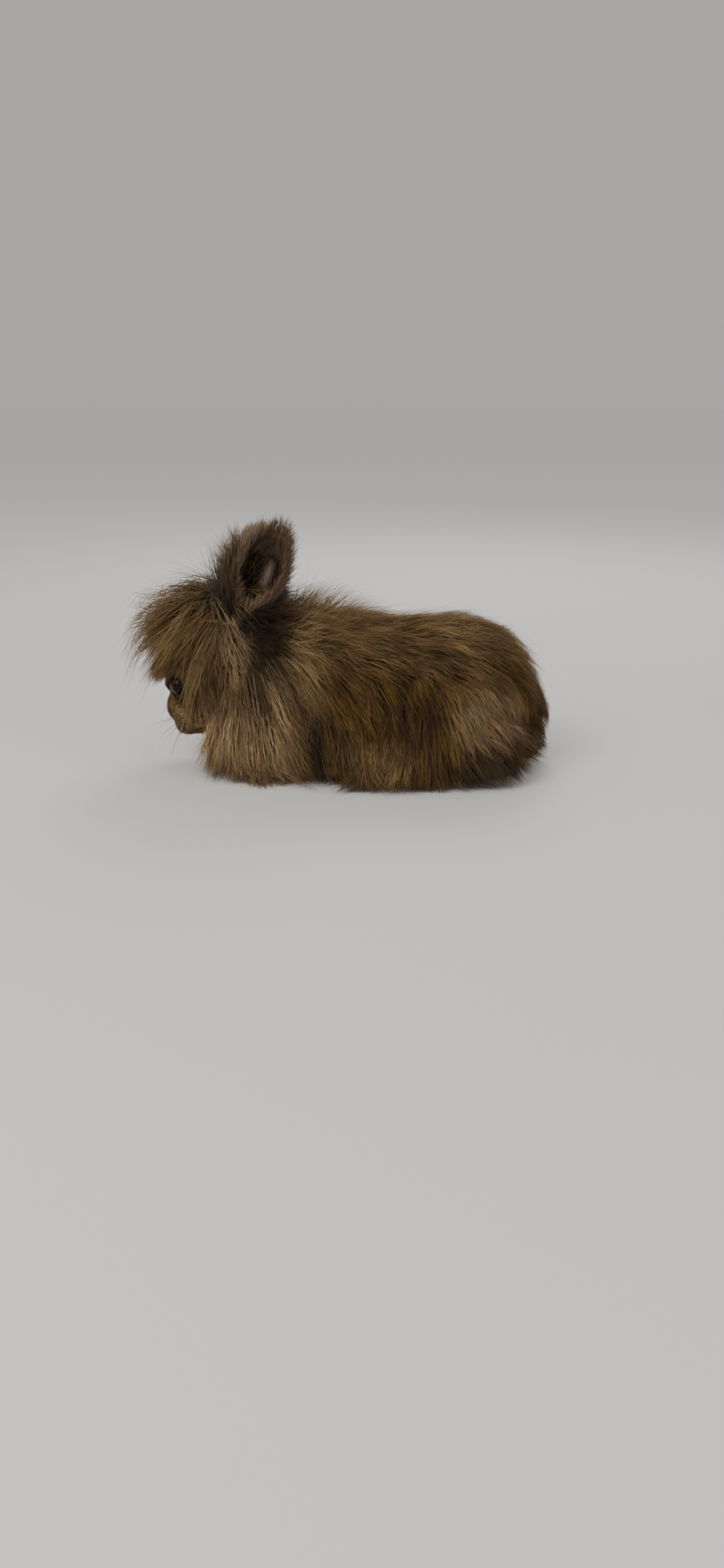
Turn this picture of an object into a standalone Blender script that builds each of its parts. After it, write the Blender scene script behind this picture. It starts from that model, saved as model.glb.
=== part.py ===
# Lionhead rabbit crouching on the floor, head lowered and turned to its right.
# Metres, Z up. The rabbit faces -Y and its left side is +X. The floor is z = 0.

import math
import random

import bmesh
import bpy
from mathutils import Matrix, Vector
from mathutils.bvhtree import BVHTree

GAP = 0.0003
TRUNK_HEIGHT = 0.101
TRUNK_HALF_WIDTH = 0.056
HEAD_PITCH = math.radians(45.0)
HEAD_YAW = math.radians(30.0)
HEAD_CENTRE = Vector((-0.0081, -0.0959, 0.0592))
EYE_RADIUS = 0.0068
EAR_LENGTH = 0.079
EAR_RADIUS = 0.0145
EAR_THICKNESS = 0.0022
LID_THICKNESS = 0.0014
LOCK_THICKNESS = 0.0042
LOCK_SINK = 0.0045
LOCK_CLEARANCE = 0.0016
EYE_CLEARANCE = 0.0060
FLOOR_CLEARANCE = 0.0012
SEED = 17
# Share of the faces that fusing leaves which is kept, without its slivers
FUSED_SHARE = 0.86

# Trunk, mane base and chest as centre and radii of each swelling
TRUNK_FORMS = (
    ((0.0, 0.075, 0.050), (0.052, 0.062, 0.047)),
    ((0.0, 0.078, 0.060), (0.045, 0.050, 0.0405)),
    ((0.0, 0.022, 0.056), (TRUNK_HALF_WIDTH * 0.86, 0.066, TRUNK_HEIGHT - 0.056)),
    ((0.0, -0.022, 0.059), (0.043, 0.040, 0.047)),
    ((0.0, 0.030, 0.036), (0.050, 0.066, 0.032)),
    ((0.002, -0.048, 0.072), (0.036, 0.034, 0.038)),
    ((0.002, -0.056, 0.037), (0.036, 0.026, 0.034)),
)
NECK_CUT_POINT = Vector((0.0, -0.018, 0.055))
NECK_CUT_NORMAL = Vector((0.0, -1.0, 0.18)).normalized()

# Head swellings in head axes: forward, left, up; mirrored where left is not 0
HEAD_FORMS = (
    ((-0.014, 0.0, 0.0015), (0.039, 0.0250, 0.0245)),
    ((-0.048, 0.0, 0.0010), (0.026, 0.0230, 0.0220)),
    ((-0.040, 0.0, 0.0155), (0.037, 0.0260, 0.0255)),
    ((0.013, 0.0, -0.0030), (0.030, 0.0145, 0.0155)),
    ((0.0285, 0.0050, -0.0140), (0.0120, 0.0092, 0.0098)),
    ((0.0362, 0.0, -0.0108), (0.0060, 0.0062, 0.0052)),
    ((0.006, 0.0130, -0.0140), (0.023, 0.0125, 0.0155)),
    ((0.0225, 0.0, -0.0222), (0.0110, 0.0085, 0.0058)),
    ((0.005, 0.0, -0.0215), (0.0240, 0.0150, 0.0100)),
    ((0.001, 0.0165, 0.0050), (0.0130, 0.0080, 0.0095)),
)
EYE_PLACE = Vector((0.0005, 0.0200, 0.0030))
EYE_LOOK = Vector((0.22, 1.0, 0.10))
NOSE_TIP = Vector((0.0418, 0.0, -0.0111))
MOUTH_MIDDLE = Vector((0.0215, 0.0, -0.0197))
EAR_ROOT = Vector((-0.064, 0.0130, 0.0050))
# Each ear: way to its tip, bow of its middle, way its cup faces
EAR_POSES = {
    "left": (Vector((0.05, 0.50, 1.0)), Vector((0.0, 0.004, -0.002)), Vector((1.0, -0.12, 0.10))),
    "right": (Vector((-1.15, 0.00, 1.0)), Vector((-0.003, 0.0, 0.010)), Vector((-0.45, -1.0, -0.2))),
}

FORELEG_FORMS = (
    ((0.019, -0.063, 0.0080), (0.0100, 0.0180, 0.0100)),
    ((0.021, -0.047, 0.0150), (0.0115, 0.0140, 0.0150)),
    ((0.024, -0.038, 0.0270), (0.0115, 0.0125, 0.0180)),
)
HINDLEG_FORMS = (
    ((0.039, 0.073, 0.0420), (0.0195, 0.0410, 0.0360)),
    ((0.040, 0.040, 0.0260), (0.0170, 0.0270, 0.0200)),
    ((0.038, 0.024, 0.0090), (0.0125, 0.0300, 0.0110)),
    ((0.038, 0.076, 0.0095), (0.0120, 0.0420, 0.0110)),
)
TAIL_FORMS = (
    ((0.0, 0.1315, 0.0290), (0.0130, 0.0095, 0.0150)),
    ((0.0, 0.1350, 0.0410), (0.0115, 0.0080, 0.0150)),
)

COAT = (0.137, 0.090, 0.050, 1.0)
MANE = (0.223, 0.159, 0.098, 1.0)
FACE = (0.168, 0.112, 0.060, 1.0)
EAR_FUR = (0.105, 0.078, 0.058, 1.0)
EYE_DARK = (0.010, 0.006, 0.004, 1.0)


def clearScene():
    for item in list(bpy.data.objects):
        bpy.data.objects.remove(item, do_unlink=True)
    for group in list(bpy.data.collections):
        bpy.data.collections.remove(group)


def newCollection(name):
    group = bpy.data.collections.new(name)
    bpy.context.scene.collection.children.link(group)
    return group


def material(name, colour, roughness):
    paint = bpy.data.materials.new(name)
    paint.use_nodes = True
    shader = paint.node_tree.nodes["Principled BSDF"]
    shader.inputs["Base Color"].default_value = colour
    shader.inputs["Roughness"].default_value = roughness
    shader.inputs["Metallic"].default_value = 0.0
    return paint


def bakeModifiers(item):
    graph = bpy.context.evaluated_depsgraph_get()
    graph.update()
    mesh = bpy.data.meshes.new_from_object(item.evaluated_get(graph))
    old = item.data
    item.modifiers.clear()
    item.data = mesh
    bpy.data.meshes.remove(old)


def meshObject(name, shape, group):
    mesh = bpy.data.meshes.new(name)
    shape.to_mesh(mesh)
    shape.free()
    item = bpy.data.objects.new(name, mesh)
    group.objects.link(item)
    return item


def headAxes():
    forward = Vector((
        -math.cos(HEAD_PITCH) * math.sin(HEAD_YAW),
        -math.cos(HEAD_PITCH) * math.cos(HEAD_YAW),
        -math.sin(HEAD_PITCH),
    ))
    left = Vector((math.cos(HEAD_YAW), -math.sin(HEAD_YAW), 0.0))
    up = forward.cross(left)
    turn = Matrix((forward, left, up)).transposed().to_4x4()
    return Matrix.Translation(HEAD_CENTRE) @ turn


def addForm(shape, axes, centre, radii, detail=3):
    place = axes @ Matrix.Translation(centre) @ Matrix.Diagonal((*radii, 1.0))
    bmesh.ops.create_icosphere(shape, subdivisions=detail, radius=1.0, matrix=place)


# Swellings melted into one smooth closed body of about the wanted face count
def softBody(name, forms, axes, group, voxel, rounds, faces, bothSides=False):
    shape = bmesh.new()
    for centre, radii in forms:
        addForm(shape, axes, Vector(centre), radii)
        if bothSides and centre[1] > 0.0:
            addForm(shape, axes, Vector((centre[0], -centre[1], centre[2])), radii)
    item = meshObject(name, shape, group)
    melt = item.modifiers.new("melt", "REMESH")
    melt.mode = "VOXEL"
    melt.voxel_size = voxel
    relax = item.modifiers.new("relax", "SMOOTH")
    relax.factor = 0.5
    relax.iterations = rounds
    bakeModifiers(item)
    thin = item.modifiers.new("thin", "DECIMATE")
    thin.ratio = min(1.0, faces / (2.0 * len(item.data.polygons)))
    bakeModifiers(item)
    keepLargest(item)
    return item


# Volume of one closed island, by the signed tetrahedra under its faces
def islandVolume(faces):
    total = 0.0
    for face in faces:
        corners = [loop.vert.co for loop in face.loops]
        for k in range(1, len(corners) - 1):
            total += corners[0].dot(corners[k].cross(corners[k + 1])) / 6.0
    return total


# Points and faces in a fixed order, since a Boolean may list them in another each time
def putInOrder(item):
    places = [tuple(round(value, 7) for value in vert.co) for vert in item.data.vertices]
    order = sorted(range(len(places)), key=places.__getitem__)
    rank = {old: new for new, old in enumerate(order)}
    faces = []
    for face in item.data.polygons:
        corners = [rank[index] for index in face.vertices]
        first = corners.index(min(corners))
        faces.append(corners[first:] + corners[:first])
    mesh = bpy.data.meshes.new(item.name)
    mesh.from_pydata([places[index] for index in order], [], sorted(faces))
    for paint in item.data.materials:
        mesh.materials.append(paint)
    old = item.data
    item.data = mesh
    bpy.data.meshes.remove(old)


def keepLargest(item):
    putInOrder(item)
    shape = bmesh.new()
    shape.from_mesh(item.data)
    bmesh.ops.triangulate(shape, faces=shape.faces[:])
    left = set(shape.faces)
    islands = []
    while left:
        stack = [left.pop()]
        island = set(stack)
        while stack:
            face = stack.pop()
            for edge in face.edges:
                if len(edge.link_faces) != 2:
                    continue
                for other in edge.link_faces:
                    if other in left:
                        left.remove(other)
                        island.add(other)
                        stack.append(other)
        islands.append(island)
    islands.sort(key=islandVolume)
    scraps = [face for island in islands[:-1] for face in island]
    bmesh.ops.delete(shape, geom=scraps, context="FACES")
    loose = [vert for vert in shape.verts if not vert.link_faces]
    bmesh.ops.delete(shape, geom=loose, context="VERTS")
    shape.to_mesh(item.data)
    shape.free()


# A copy pushed out along its normals, used to cut a neighbour clear
def grownCopy(item, amount, group):
    shape = bmesh.new()
    shape.from_mesh(item.data)
    shape.normal_update()
    moves = [vert.normal * amount * vert.calc_shell_factor() for vert in shape.verts]
    for vert, move in zip(shape.verts, moves):
        vert.co += move
    copy = meshObject(item.name + "_room", shape, group)
    copy.hide_render = True
    copy.display_type = "WIRE"
    return copy


def cutBy(item, cutters):
    for cutter in cutters:
        change = item.modifiers.new("cut", "BOOLEAN")
        change.operation = "DIFFERENCE"
        change.solver = "MANIFOLD"
        change.object = cutter
        bakeModifiers(item)
        putInOrder(item)
    keepLargest(item)


def makeRoom(item, neighbours, group):
    rooms = [grownCopy(other, GAP * 1.2, group) for other in neighbours]
    cutBy(item, rooms)
    for room in rooms:
        bpy.data.objects.remove(room, do_unlink=True)


# Half of a body on one side of a plane, closed with a flat face
def sliceOff(item, point, normal):
    shape = bmesh.new()
    shape.from_mesh(item.data)
    everything = shape.verts[:] + shape.edges[:] + shape.faces[:]
    cut = bmesh.ops.bisect_plane(
        shape, geom=everything, plane_co=point, plane_no=normal, clear_outer=True,
    )
    rim = [part for part in cut["geom_cut"] if isinstance(part, bmesh.types.BMEdge)]
    bmesh.ops.contextual_create(shape, geom=rim)
    bmesh.ops.triangulate(shape, faces=shape.faces[:])
    bmesh.ops.recalc_face_normals(shape, faces=shape.faces[:])
    shape.to_mesh(item.data)
    shape.free()


def treeOf(items, grow=0.0):
    shape = bmesh.new()
    for item in items:
        shape.from_mesh(item.data)
    if grow:
        shape.normal_update()
        moves = [vert.normal * grow for vert in shape.verts]
        for vert, move in zip(shape.verts, moves):
            vert.co += move
    tree = BVHTree.FromBMesh(shape)
    shape.free()
    return tree


# How far a point is outside a surface, with the place and normal below it
def heightOver(tree, point):
    place, normal, _, distance = tree.find_nearest(point)
    side = (point - place).dot(normal)
    return (distance if side >= 0.0 else -distance), place, normal


def smoothStep(low, high, value):
    t = max(0.0, min(1.0, (value - low) / (high - low)))
    return t * t * (3.0 - 2.0 * t)


# A lock is a flat tapered blade; ring widths and thicknesses run root to tip
LOCK_WIDTHS = (0.55, 1.0, 0.74)
LOCK_DEPTHS = (1.15, 1.0, 0.65)


def lockShape(path, outs, width, thickness, droop):
    shape = bmesh.new()
    rings = []
    for k in range(len(path) - 1):
        ahead = (path[k + 1] - path[max(k - 1, 0)]).normalized()
        out = (outs[k] - ahead * outs[k].dot(ahead)).normalized()
        side = ahead.cross(out)
        half = 0.5 * width * LOCK_WIDTHS[k]
        deep = thickness * LOCK_DEPTHS[k]
        under = path[k] - out * (0.35 * deep + droop * half)
        rings.append([
            shape.verts.new(under - side * half),
            shape.verts.new(path[k] + out * (0.65 * deep)),
            shape.verts.new(under + side * half),
        ])
    tip = shape.verts.new(path[-1])
    for low, high in zip(rings, rings[1:]):
        for k in range(3):
            after = (k + 1) % 3
            shape.faces.new((low[k], low[after], high[after]))
            shape.faces.new((low[k], high[after], high[k]))
    for k in range(3):
        shape.faces.new((rings[-1][k], rings[-1][(k + 1) % 3], tip))
    shape.faces.new(rings[0])
    bmesh.ops.recalc_face_normals(shape, faces=shape.faces[:])
    for k, vert in enumerate(shape.verts):
        vert.co.z = max(vert.co.z, FLOOR_CLEARANCE - 0.0001 * (k % 3))
    return shape


# The path leaves the skin at its root, rises to the lock's lift and keeps near it
def lockPath(plan, guide, share):
    steps = len(LOCK_WIDTHS)
    _, place, normal = heightOver(guide, plan["root"])
    point = place - normal * plan["sink"]
    path = [point.copy()]
    outs = [normal.copy()]
    heading = plan["flow"](place)
    direction = (heading - normal * heading.dot(normal)).normalized()
    direction = (direction + normal * 0.55).normalized()
    step = plan["length"] * share / steps
    cling = plan["cling"]
    for k in range(1, steps + 1):
        point = point + direction * step
        wanted = plan["lift"] * smoothStep(0.0, 0.6, k / steps)
        height, place, normal = heightOver(guide, point)
        if height < wanted:
            point = place + normal * wanted
        else:
            excess = 1.0 - wanted / max(height, 1e-6)
            point = place + (point - place) * (1.0 - cling * excess)
        point.z = max(point.z, FLOOR_CLEARANCE + 0.0025 * (1.0 - k / steps))
        path.append(point.copy())
        outs.append(normal.copy())
        pull = plan["flow"](point)
        ahead = pull - normal * pull.dot(normal) * cling
        direction = (direction * 0.35 + ahead.normalized() * 0.65).normalized()
    return path, outs


def pushClear(path, blocks, margin):
    moved = [path[0].copy()]
    for point in path[1:]:
        for _ in range(3):
            for tree in blocks:
                height, place, normal = heightOver(tree, point)
                if height < margin and abs(height) < 0.02:
                    point = place + normal * margin
        moved.append(Vector((point.x, point.y, max(point.z, FLOOR_CLEARANCE))))
    return moved


# A lock that crosses a neighbour is lifted, then made shorter, then left out
def growLock(name, group, plan, guide, blocks):
    for share in (1.0, 0.78, 0.6):
        path, outs = lockPath(plan, guide, share)
        width = plan["width"] * (0.4 + 0.6 * share)
        for attempt in range(5):
            clear = pushClear(path, blocks, LOCK_CLEARANCE + 0.0011 * attempt)
            shape = lockShape(clear, outs, width, plan["thickness"], plan["droop"])
            tree = BVHTree.FromBMesh(shape)
            if not any(tree.overlap(block) for block in blocks):
                return meshObject(name, shape, group)
            shape.free()
    return None


def fuse(item, group, share=FUSED_SHARE):
    if group.objects:
        join = item.modifiers.new("fuse", "BOOLEAN")
        join.operation = "UNION"
        join.solver = "MANIFOLD"
        join.operand_type = "COLLECTION"
        join.collection = group
        bakeModifiers(item)
        for piece in list(group.objects):
            bpy.data.objects.remove(piece, do_unlink=True)
    bpy.data.collections.remove(group)
    keepLargest(item)
    if share < 1.0:
        thin = item.modifiers.new("thin", "DECIMATE")
        thin.ratio = share
        bakeModifiers(item)
        keepLargest(item)


def growCoat(item, plans, guide, blocks):
    group = newCollection(item.name + "_locks")
    grown = 0
    for k, plan in enumerate(plans):
        if growLock(item.name + "_lock_" + str(k), group, plan, guide, blocks):
            grown += 1
    fuse(item, group)
    print(item.name, "locks", grown, "of", len(plans), "faces", len(item.data.polygons))


# Roots are found by looking back at the body from outside it
def rootOn(tree, inside, direction):
    aim = direction.normalized()
    place, _, _, _ = tree.ray_cast(inside + aim * 0.2, -aim, 0.2)
    return place


def vary(dice, value, share):
    return value * (1.0 + share * dice.uniform(-1.0, 1.0))


def lockPlan(root, flow, length, width, lift, cling=0.8, droop=0.28,
             thickness=LOCK_THICKNESS, sink=LOCK_SINK):
    return {
        "root": root, "flow": flow, "length": length, "width": width, "lift": lift,
        "cling": cling, "droop": droop, "thickness": thickness, "sink": sink,
    }


# Lie of the coat: back along the spine, down the flanks, down and back at the rump
def trunkFlow(point):
    side = 1.0 if point.x >= 0.0 else -1.0
    top = smoothStep(0.070, 0.098, point.z)
    rump = smoothStep(0.085, 0.130, point.y)
    back = Vector((0.22 * side, 1.0, -0.10 - 0.9 * rump))
    down = Vector((0.10 * side, 0.42 - 0.15 * rump, -1.0))
    return (back * top + down * (1.0 - top)).normalized()


def rumpFlow(point):
    return Vector((point.x * 6.0, 0.50, -1.0)).normalized()


def maneFlow(point):
    side = 1.0 if point.x >= 0.0 else -1.0
    top = smoothStep(0.075, 0.115, point.z)
    front = smoothStep(-0.055, -0.080, point.y)
    back = Vector((0.45 * side, 1.0, -0.35))
    down = Vector((0.12 * side, 0.30 - 0.45 * front, -1.0))
    return (back * top + down * (1.0 - top)).normalized()


def tailFlow(point):
    return Vector((0.0, 0.25, 1.0)).normalized()


def trunkPlans(dice, tree):
    plans = []
    rows = 7
    for row in range(rows):
        along = row / (rows - 1)
        centre = Vector((0.0, -0.002 + 0.116 * along, 0.052))
        tilt = 0.75 * smoothStep(0.72, 1.0, along)
        spokes = 10 if row < rows - 1 else 8
        for k in range(spokes):
            angle = math.radians(-122.0 + 244.0 * (k + 0.5 * (row % 2)) / (spokes - 0.5))
            angle += dice.uniform(-0.06, 0.06)
            out = Vector((math.sin(angle), math.tan(tilt), math.cos(angle)))
            shift = Vector((0.0, dice.uniform(-0.004, 0.004), 0.0))
            root = rootOn(tree, centre + shift, out)
            if root is None:
                continue
            low = smoothStep(math.radians(75.0), math.radians(105.0), abs(angle))
            under = 1.0 - smoothStep(0.002, 0.030, root.y)
            plans.append(lockPlan(
                root, trunkFlow, vary(dice, 0.048 - 0.008 * low, 0.16),
                vary(dice, 0.0225, 0.12),
                vary(dice, 0.0090 + 0.003 * low - 0.0035 * under * (1.0 - low), 0.2),
                cling=0.80 - 0.5 * low,
            ))
    for row in range(3):
        spokes = 8
        for k in range(spokes):
            angle = math.radians(-72.0 + 144.0 * (k + 0.5 * (row % 2)) / (spokes - 0.5))
            if row == 2 and abs(angle) < 0.3:
                continue
            centre = Vector((0.0, 0.085, 0.066 - 0.017 * row))
            out = Vector((math.sin(angle), math.cos(angle), 0.28 - 0.2 * row))
            root = rootOn(tree, centre, out)
            if root is None:
                continue
            plans.append(lockPlan(
                root, rumpFlow, vary(dice, 0.038, 0.12), vary(dice, 0.0200, 0.12),
                vary(dice, 0.0110 + 0.0015 * row, 0.15), cling=0.25,
            ))
    return plans


def hindlegPlans(dice, tree, side):
    plans = []
    for row in range(4):
        for k in range(4):
            angle = math.radians(38.0 + 30.0 * row)
            along = 0.046 + 0.0200 * (k + 0.5 * (row % 2))
            out = Vector((side * math.sin(angle), 0.0, math.cos(angle)))
            centre = Vector((side * 0.030, along + dice.uniform(-0.003, 0.003), 0.042))
            root = rootOn(tree, centre, out)
            if root is None:
                continue
            fan = 0.9 * (along - 0.070) / 0.04

            def flow(point, lean=fan):
                return Vector((0.28 * side, 0.35 + lean, -1.0)).normalized()

            plans.append(lockPlan(
                root, flow, vary(dice, 0.038, 0.15), vary(dice, 0.0205, 0.12),
                vary(dice, 0.0085 + 0.0025 * (row > 1), 0.2), cling=0.7 if row < 2 else 0.2,
            ))
    return plans


def tailPlans(dice, tree):
    plans = []
    for row in range(3):
        spokes = 5
        for k in range(spokes):
            angle = math.radians(-80.0 + 160.0 * (k + 0.5 * (row % 2)) / (spokes - 0.5))
            centre = Vector((0.0, 0.132, 0.022 + 0.013 * row))
            out = Vector((math.sin(angle), math.cos(angle), 0.0))
            root = rootOn(tree, centre, out)
            if root is None:
                continue
            plans.append(lockPlan(
                root, tailFlow, vary(dice, 0.020, 0.15), vary(dice, 0.0115, 0.1),
                vary(dice, 0.004, 0.2), cling=0.6, thickness=0.0032, sink=0.003,
            ))
    return plans


def manePlans(dice, tree):
    plans = []
    for row in range(3):
        spokes = 13
        for k in range(spokes):
            angle = math.radians(-150.0 + 300.0 * (k + 0.5 * (row % 2)) / (spokes - 0.5))
            angle += dice.uniform(-0.06, 0.06)
            centre = Vector((0.002, -0.054 + 0.0125 * row, 0.064))
            out = Vector((math.sin(angle), 0.05, math.cos(angle)))
            root = rootOn(tree, centre, out)
            if root is None:
                continue
            plans.append(lockPlan(
                root, maneFlow, vary(dice, 0.056, 0.12), vary(dice, 0.0190, 0.12),
                vary(dice, 0.012, 0.15), cling=0.55, droop=0.14,
            ))
    for row in range(4):
        for k in range(6):
            across = -0.030 + 0.012 * (k + 0.5 * (row % 2) - 0.25)
            start = Vector((across, -0.055, 0.064 - 0.014 * row))
            out = Vector((across * 12.0, -1.0, -0.05))
            root = rootOn(tree, start, out)
            if root is None:
                continue
            plans.append(lockPlan(
                root, maneFlow, vary(dice, 0.040 - 0.003 * row, 0.12),
                vary(dice, 0.0185, 0.12), vary(dice, 0.0095, 0.2), cling=0.4,
            ))
    return plans


# Head locks: forelock over the brow, curtains below the ears, cheeks, jaw, nape
def headPlans(dice, tree, axes):
    turn = axes.to_3x3()
    plans = []

    def local(forward, left, up):
        return turn @ Vector((forward, left, up))

    def add(place, out, flow, length, width, lift, cling, droop=0.25):
        root = rootOn(tree, axes @ Vector(place), local(*out))
        if root is not None:
            plans.append(lockPlan(
                root, flow, vary(dice, length, 0.12), vary(dice, width, 0.12),
                vary(dice, lift, 0.15), cling=cling, droop=droop,
            ))

    for row in range(6):
        for k in range(5):
            across = -0.024 + 0.012 * (k + 0.5 * (row % 2) - 0.25)
            fall = -0.72 + 0.05 * row

            def forelock(point, spread=across, lean=fall):
                lie = Vector((-0.12, -1.0, lean)) + local(0.0, spread * 12.0, 0.0)
                return lie.normalized()

            add((-0.066 + 0.0125 * row, across * 0.4, 0.008),
                (0.0, across * 45.0, 1.0),
                forelock, 0.066 - 0.0066 * row, 0.0195, 0.0075 + 0.0008 * row, 0.14, 0.18)
    for side in (-1.0, 1.0):
        for row in range(3):
            for k in range(6):
                def curtain(point, way=side):
                    return Vector((0.10 * way, 0.08, -1.0)).normalized()

                add((-0.070 + 0.0105 * (k + 0.5 * (row % 2)), side * 0.008, 0.006),
                    (0.0, side, 0.95 - 0.48 * row),
                    curtain, 0.047 - 0.006 * row, 0.0165, 0.0105 - 0.002 * row, 0.45)
        for row in range(2):
            for k in range(3):
                def cheek(point, way=side):
                    lie = local(-0.9, way * 0.25, -0.45)
                    return (lie + Vector((0.0, 0.0, -0.5))).normalized()

                add((-0.012 + 0.012 * (k + 0.5 * row), side * 0.006, -0.010),
                    (0.0, side, -0.10 - 0.6 * row),
                    cheek, 0.026, 0.0140, 0.0055, 0.6)
    for k in range(4):
        def jaw(point):
            lie = local(-0.9, 0.0, -0.6)
            return (lie + Vector((0.0, 0.0, -0.3))).normalized()

        add((0.020 - 0.010 * k, 0.0, -0.012), (0.0, 0.35 * (-1) ** k, -1.0), jaw,
            0.024, 0.0140, 0.0050, 0.6)
    for row in range(2):
        for k in range(4):
            across = -0.009 + 0.006 * k

            def nape(point, spread=across):
                lie = Vector((0.0, 1.0, -0.15)) + local(0.0, spread * 20.0, 0.0)
                return lie.normalized()

            add((-0.056 - 0.004 * row, across * 0.5, 0.008),
                (-0.70 - 0.60 * row, across * 50.0, 1.0),
                nape, 0.034, 0.0150, 0.0105, 0.30, 0.10)
    return plans


# A closed tube through points, for a groove or a rounded rim
def tubeShape(points, radius, sides=6):
    shape = bmesh.new()
    rings = []
    for k, point in enumerate(points):
        ahead = (points[min(k + 1, len(points) - 1)] - points[max(k - 1, 0)]).normalized()
        across = ahead.cross(Vector((0.31, 0.17, 0.93))).normalized()
        over = across.cross(ahead)
        ring = []
        for j in range(sides):
            angle = 2.0 * math.pi * j / sides
            ring.append(shape.verts.new(
                point + (across * math.cos(angle) + over * math.sin(angle)) * radius
            ))
        rings.append(ring)
    for low, high in zip(rings, rings[1:]):
        for j in range(sides):
            after = (j + 1) % sides
            shape.faces.new((low[j], low[after], high[after]))
            shape.faces.new((low[j], high[after], high[j]))
    shape.faces.new(list(reversed(rings[0])))
    shape.faces.new(rings[-1])
    bmesh.ops.triangulate(shape, faces=shape.faces[:])
    bmesh.ops.recalc_face_normals(shape, faces=shape.faces[:])
    return shape


def cutterObject(name, shape, group):
    cutter = meshObject(name, shape, group)
    cutter.hide_render = True
    cutter.display_type = "WIRE"
    return cutter


# Nostrils, the cleft below the nose and the line of the mouth
def carveMuzzle(head, axes, group):
    cutters = []
    for side in (-1.0, 1.0):
        slit = bmesh.new()
        place = axes @ Matrix.Translation(NOSE_TIP + Vector((-0.0008, side * 0.0027, 0.0008)))
        place = place @ Matrix.Rotation(side * math.radians(-38.0), 4, "X")
        place = place @ Matrix.Diagonal((0.0030, 0.0007, 0.0019, 1.0))
        bmesh.ops.create_icosphere(slit, subdivisions=2, radius=1.0, matrix=place)
        cutters.append(cutterObject("nostril", slit, group))
    cleft = bmesh.new()
    place = axes @ Matrix.Translation(NOSE_TIP + Vector((-0.0010, 0.0, -0.0052)))
    place = place @ Matrix.Diagonal((0.0040, 0.0006, 0.0040, 1.0))
    bmesh.ops.create_icosphere(cleft, subdivisions=2, radius=1.0, matrix=place)
    cutters.append(cutterObject("cleft", cleft, group))
    tree = treeOf([head])
    line = []
    for k in range(13):
        angle = math.radians(-112.0 + 224.0 * k / 12)
        rise = 0.0022 * abs(math.sin(angle))
        out = axes.to_3x3() @ Vector((math.cos(angle), math.sin(angle), 0.0))
        middle = axes @ (MOUTH_MIDDLE + Vector((0.0, 0.0, rise)))
        spot = rootOn(tree, middle, out)
        if spot is not None:
            line.append(spot)
    cutters.append(cutterObject("mouth", tubeShape(line, 0.0007), group))
    cutBy(head, cutters)
    for cutter in cutters:
        bpy.data.objects.remove(cutter, do_unlink=True)


# Rounded lids around one eye, to be fused with the head before the eye is cut out
def lidShape(centre, look, axes):
    tilt = look.normalized()
    along = (Vector((1.0, 0.0, 0.0)) - tilt * tilt.x).normalized()
    over = tilt.cross(along)
    points = []
    for k in range(15):
        angle = 2.0 * math.pi * k / 14
        rim = along * (math.cos(angle) * EYE_RADIUS * 0.98)
        rim = rim + over * (math.sin(angle) * EYE_RADIUS * 0.80)
        back = EYE_RADIUS * (0.40 - 0.16 * abs(math.cos(angle)))
        points.append(axes @ (centre + rim + tilt * back))
    shape = bmesh.new()
    rings = []
    for k in range(14):
        middle = axes @ centre
        out = (points[k] - middle).normalized()
        ahead = (points[k + 1] - points[k - 1 if k else 12]).normalized()
        over = out.cross(ahead)
        ring = []
        for j in range(5):
            angle = 2.0 * math.pi * j / 5
            ring.append(shape.verts.new(
                points[k] + (out * math.cos(angle) + over * math.sin(angle)) * LID_THICKNESS
            ))
        rings.append(ring)
    for k in range(14):
        low = rings[k]
        high = rings[(k + 1) % 14]
        for j in range(5):
            after = (j + 1) % 5
            shape.faces.new((low[j], low[after], high[after]))
            shape.faces.new((low[j], high[after], high[j]))
    bmesh.ops.recalc_face_normals(shape, faces=shape.faces[:])
    return shape


def addEyes(head, axes, group, paint, cutters):
    lids = newCollection("lids")
    eyes = []
    for side, word in ((1.0, "left"), (-1.0, "right")):
        flip = Vector((1.0, side, 1.0))
        centre = EYE_PLACE * flip
        look = EYE_LOOK * flip
        meshObject("lid_" + word, lidShape(centre, look, axes), lids)
        ball = bmesh.new()
        bmesh.ops.create_icosphere(
            ball, subdivisions=3, radius=EYE_RADIUS, matrix=axes @ Matrix.Translation(centre),
        )
        eye = meshObject("eye_" + word, ball, group)
        eye.data.materials.append(paint)
        eye.data.shade_smooth()
        eyes.append(eye)
    fuse(head, lids, share=1.0)
    makeRoom(head, eyes, cutters)
    return eyes


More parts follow.
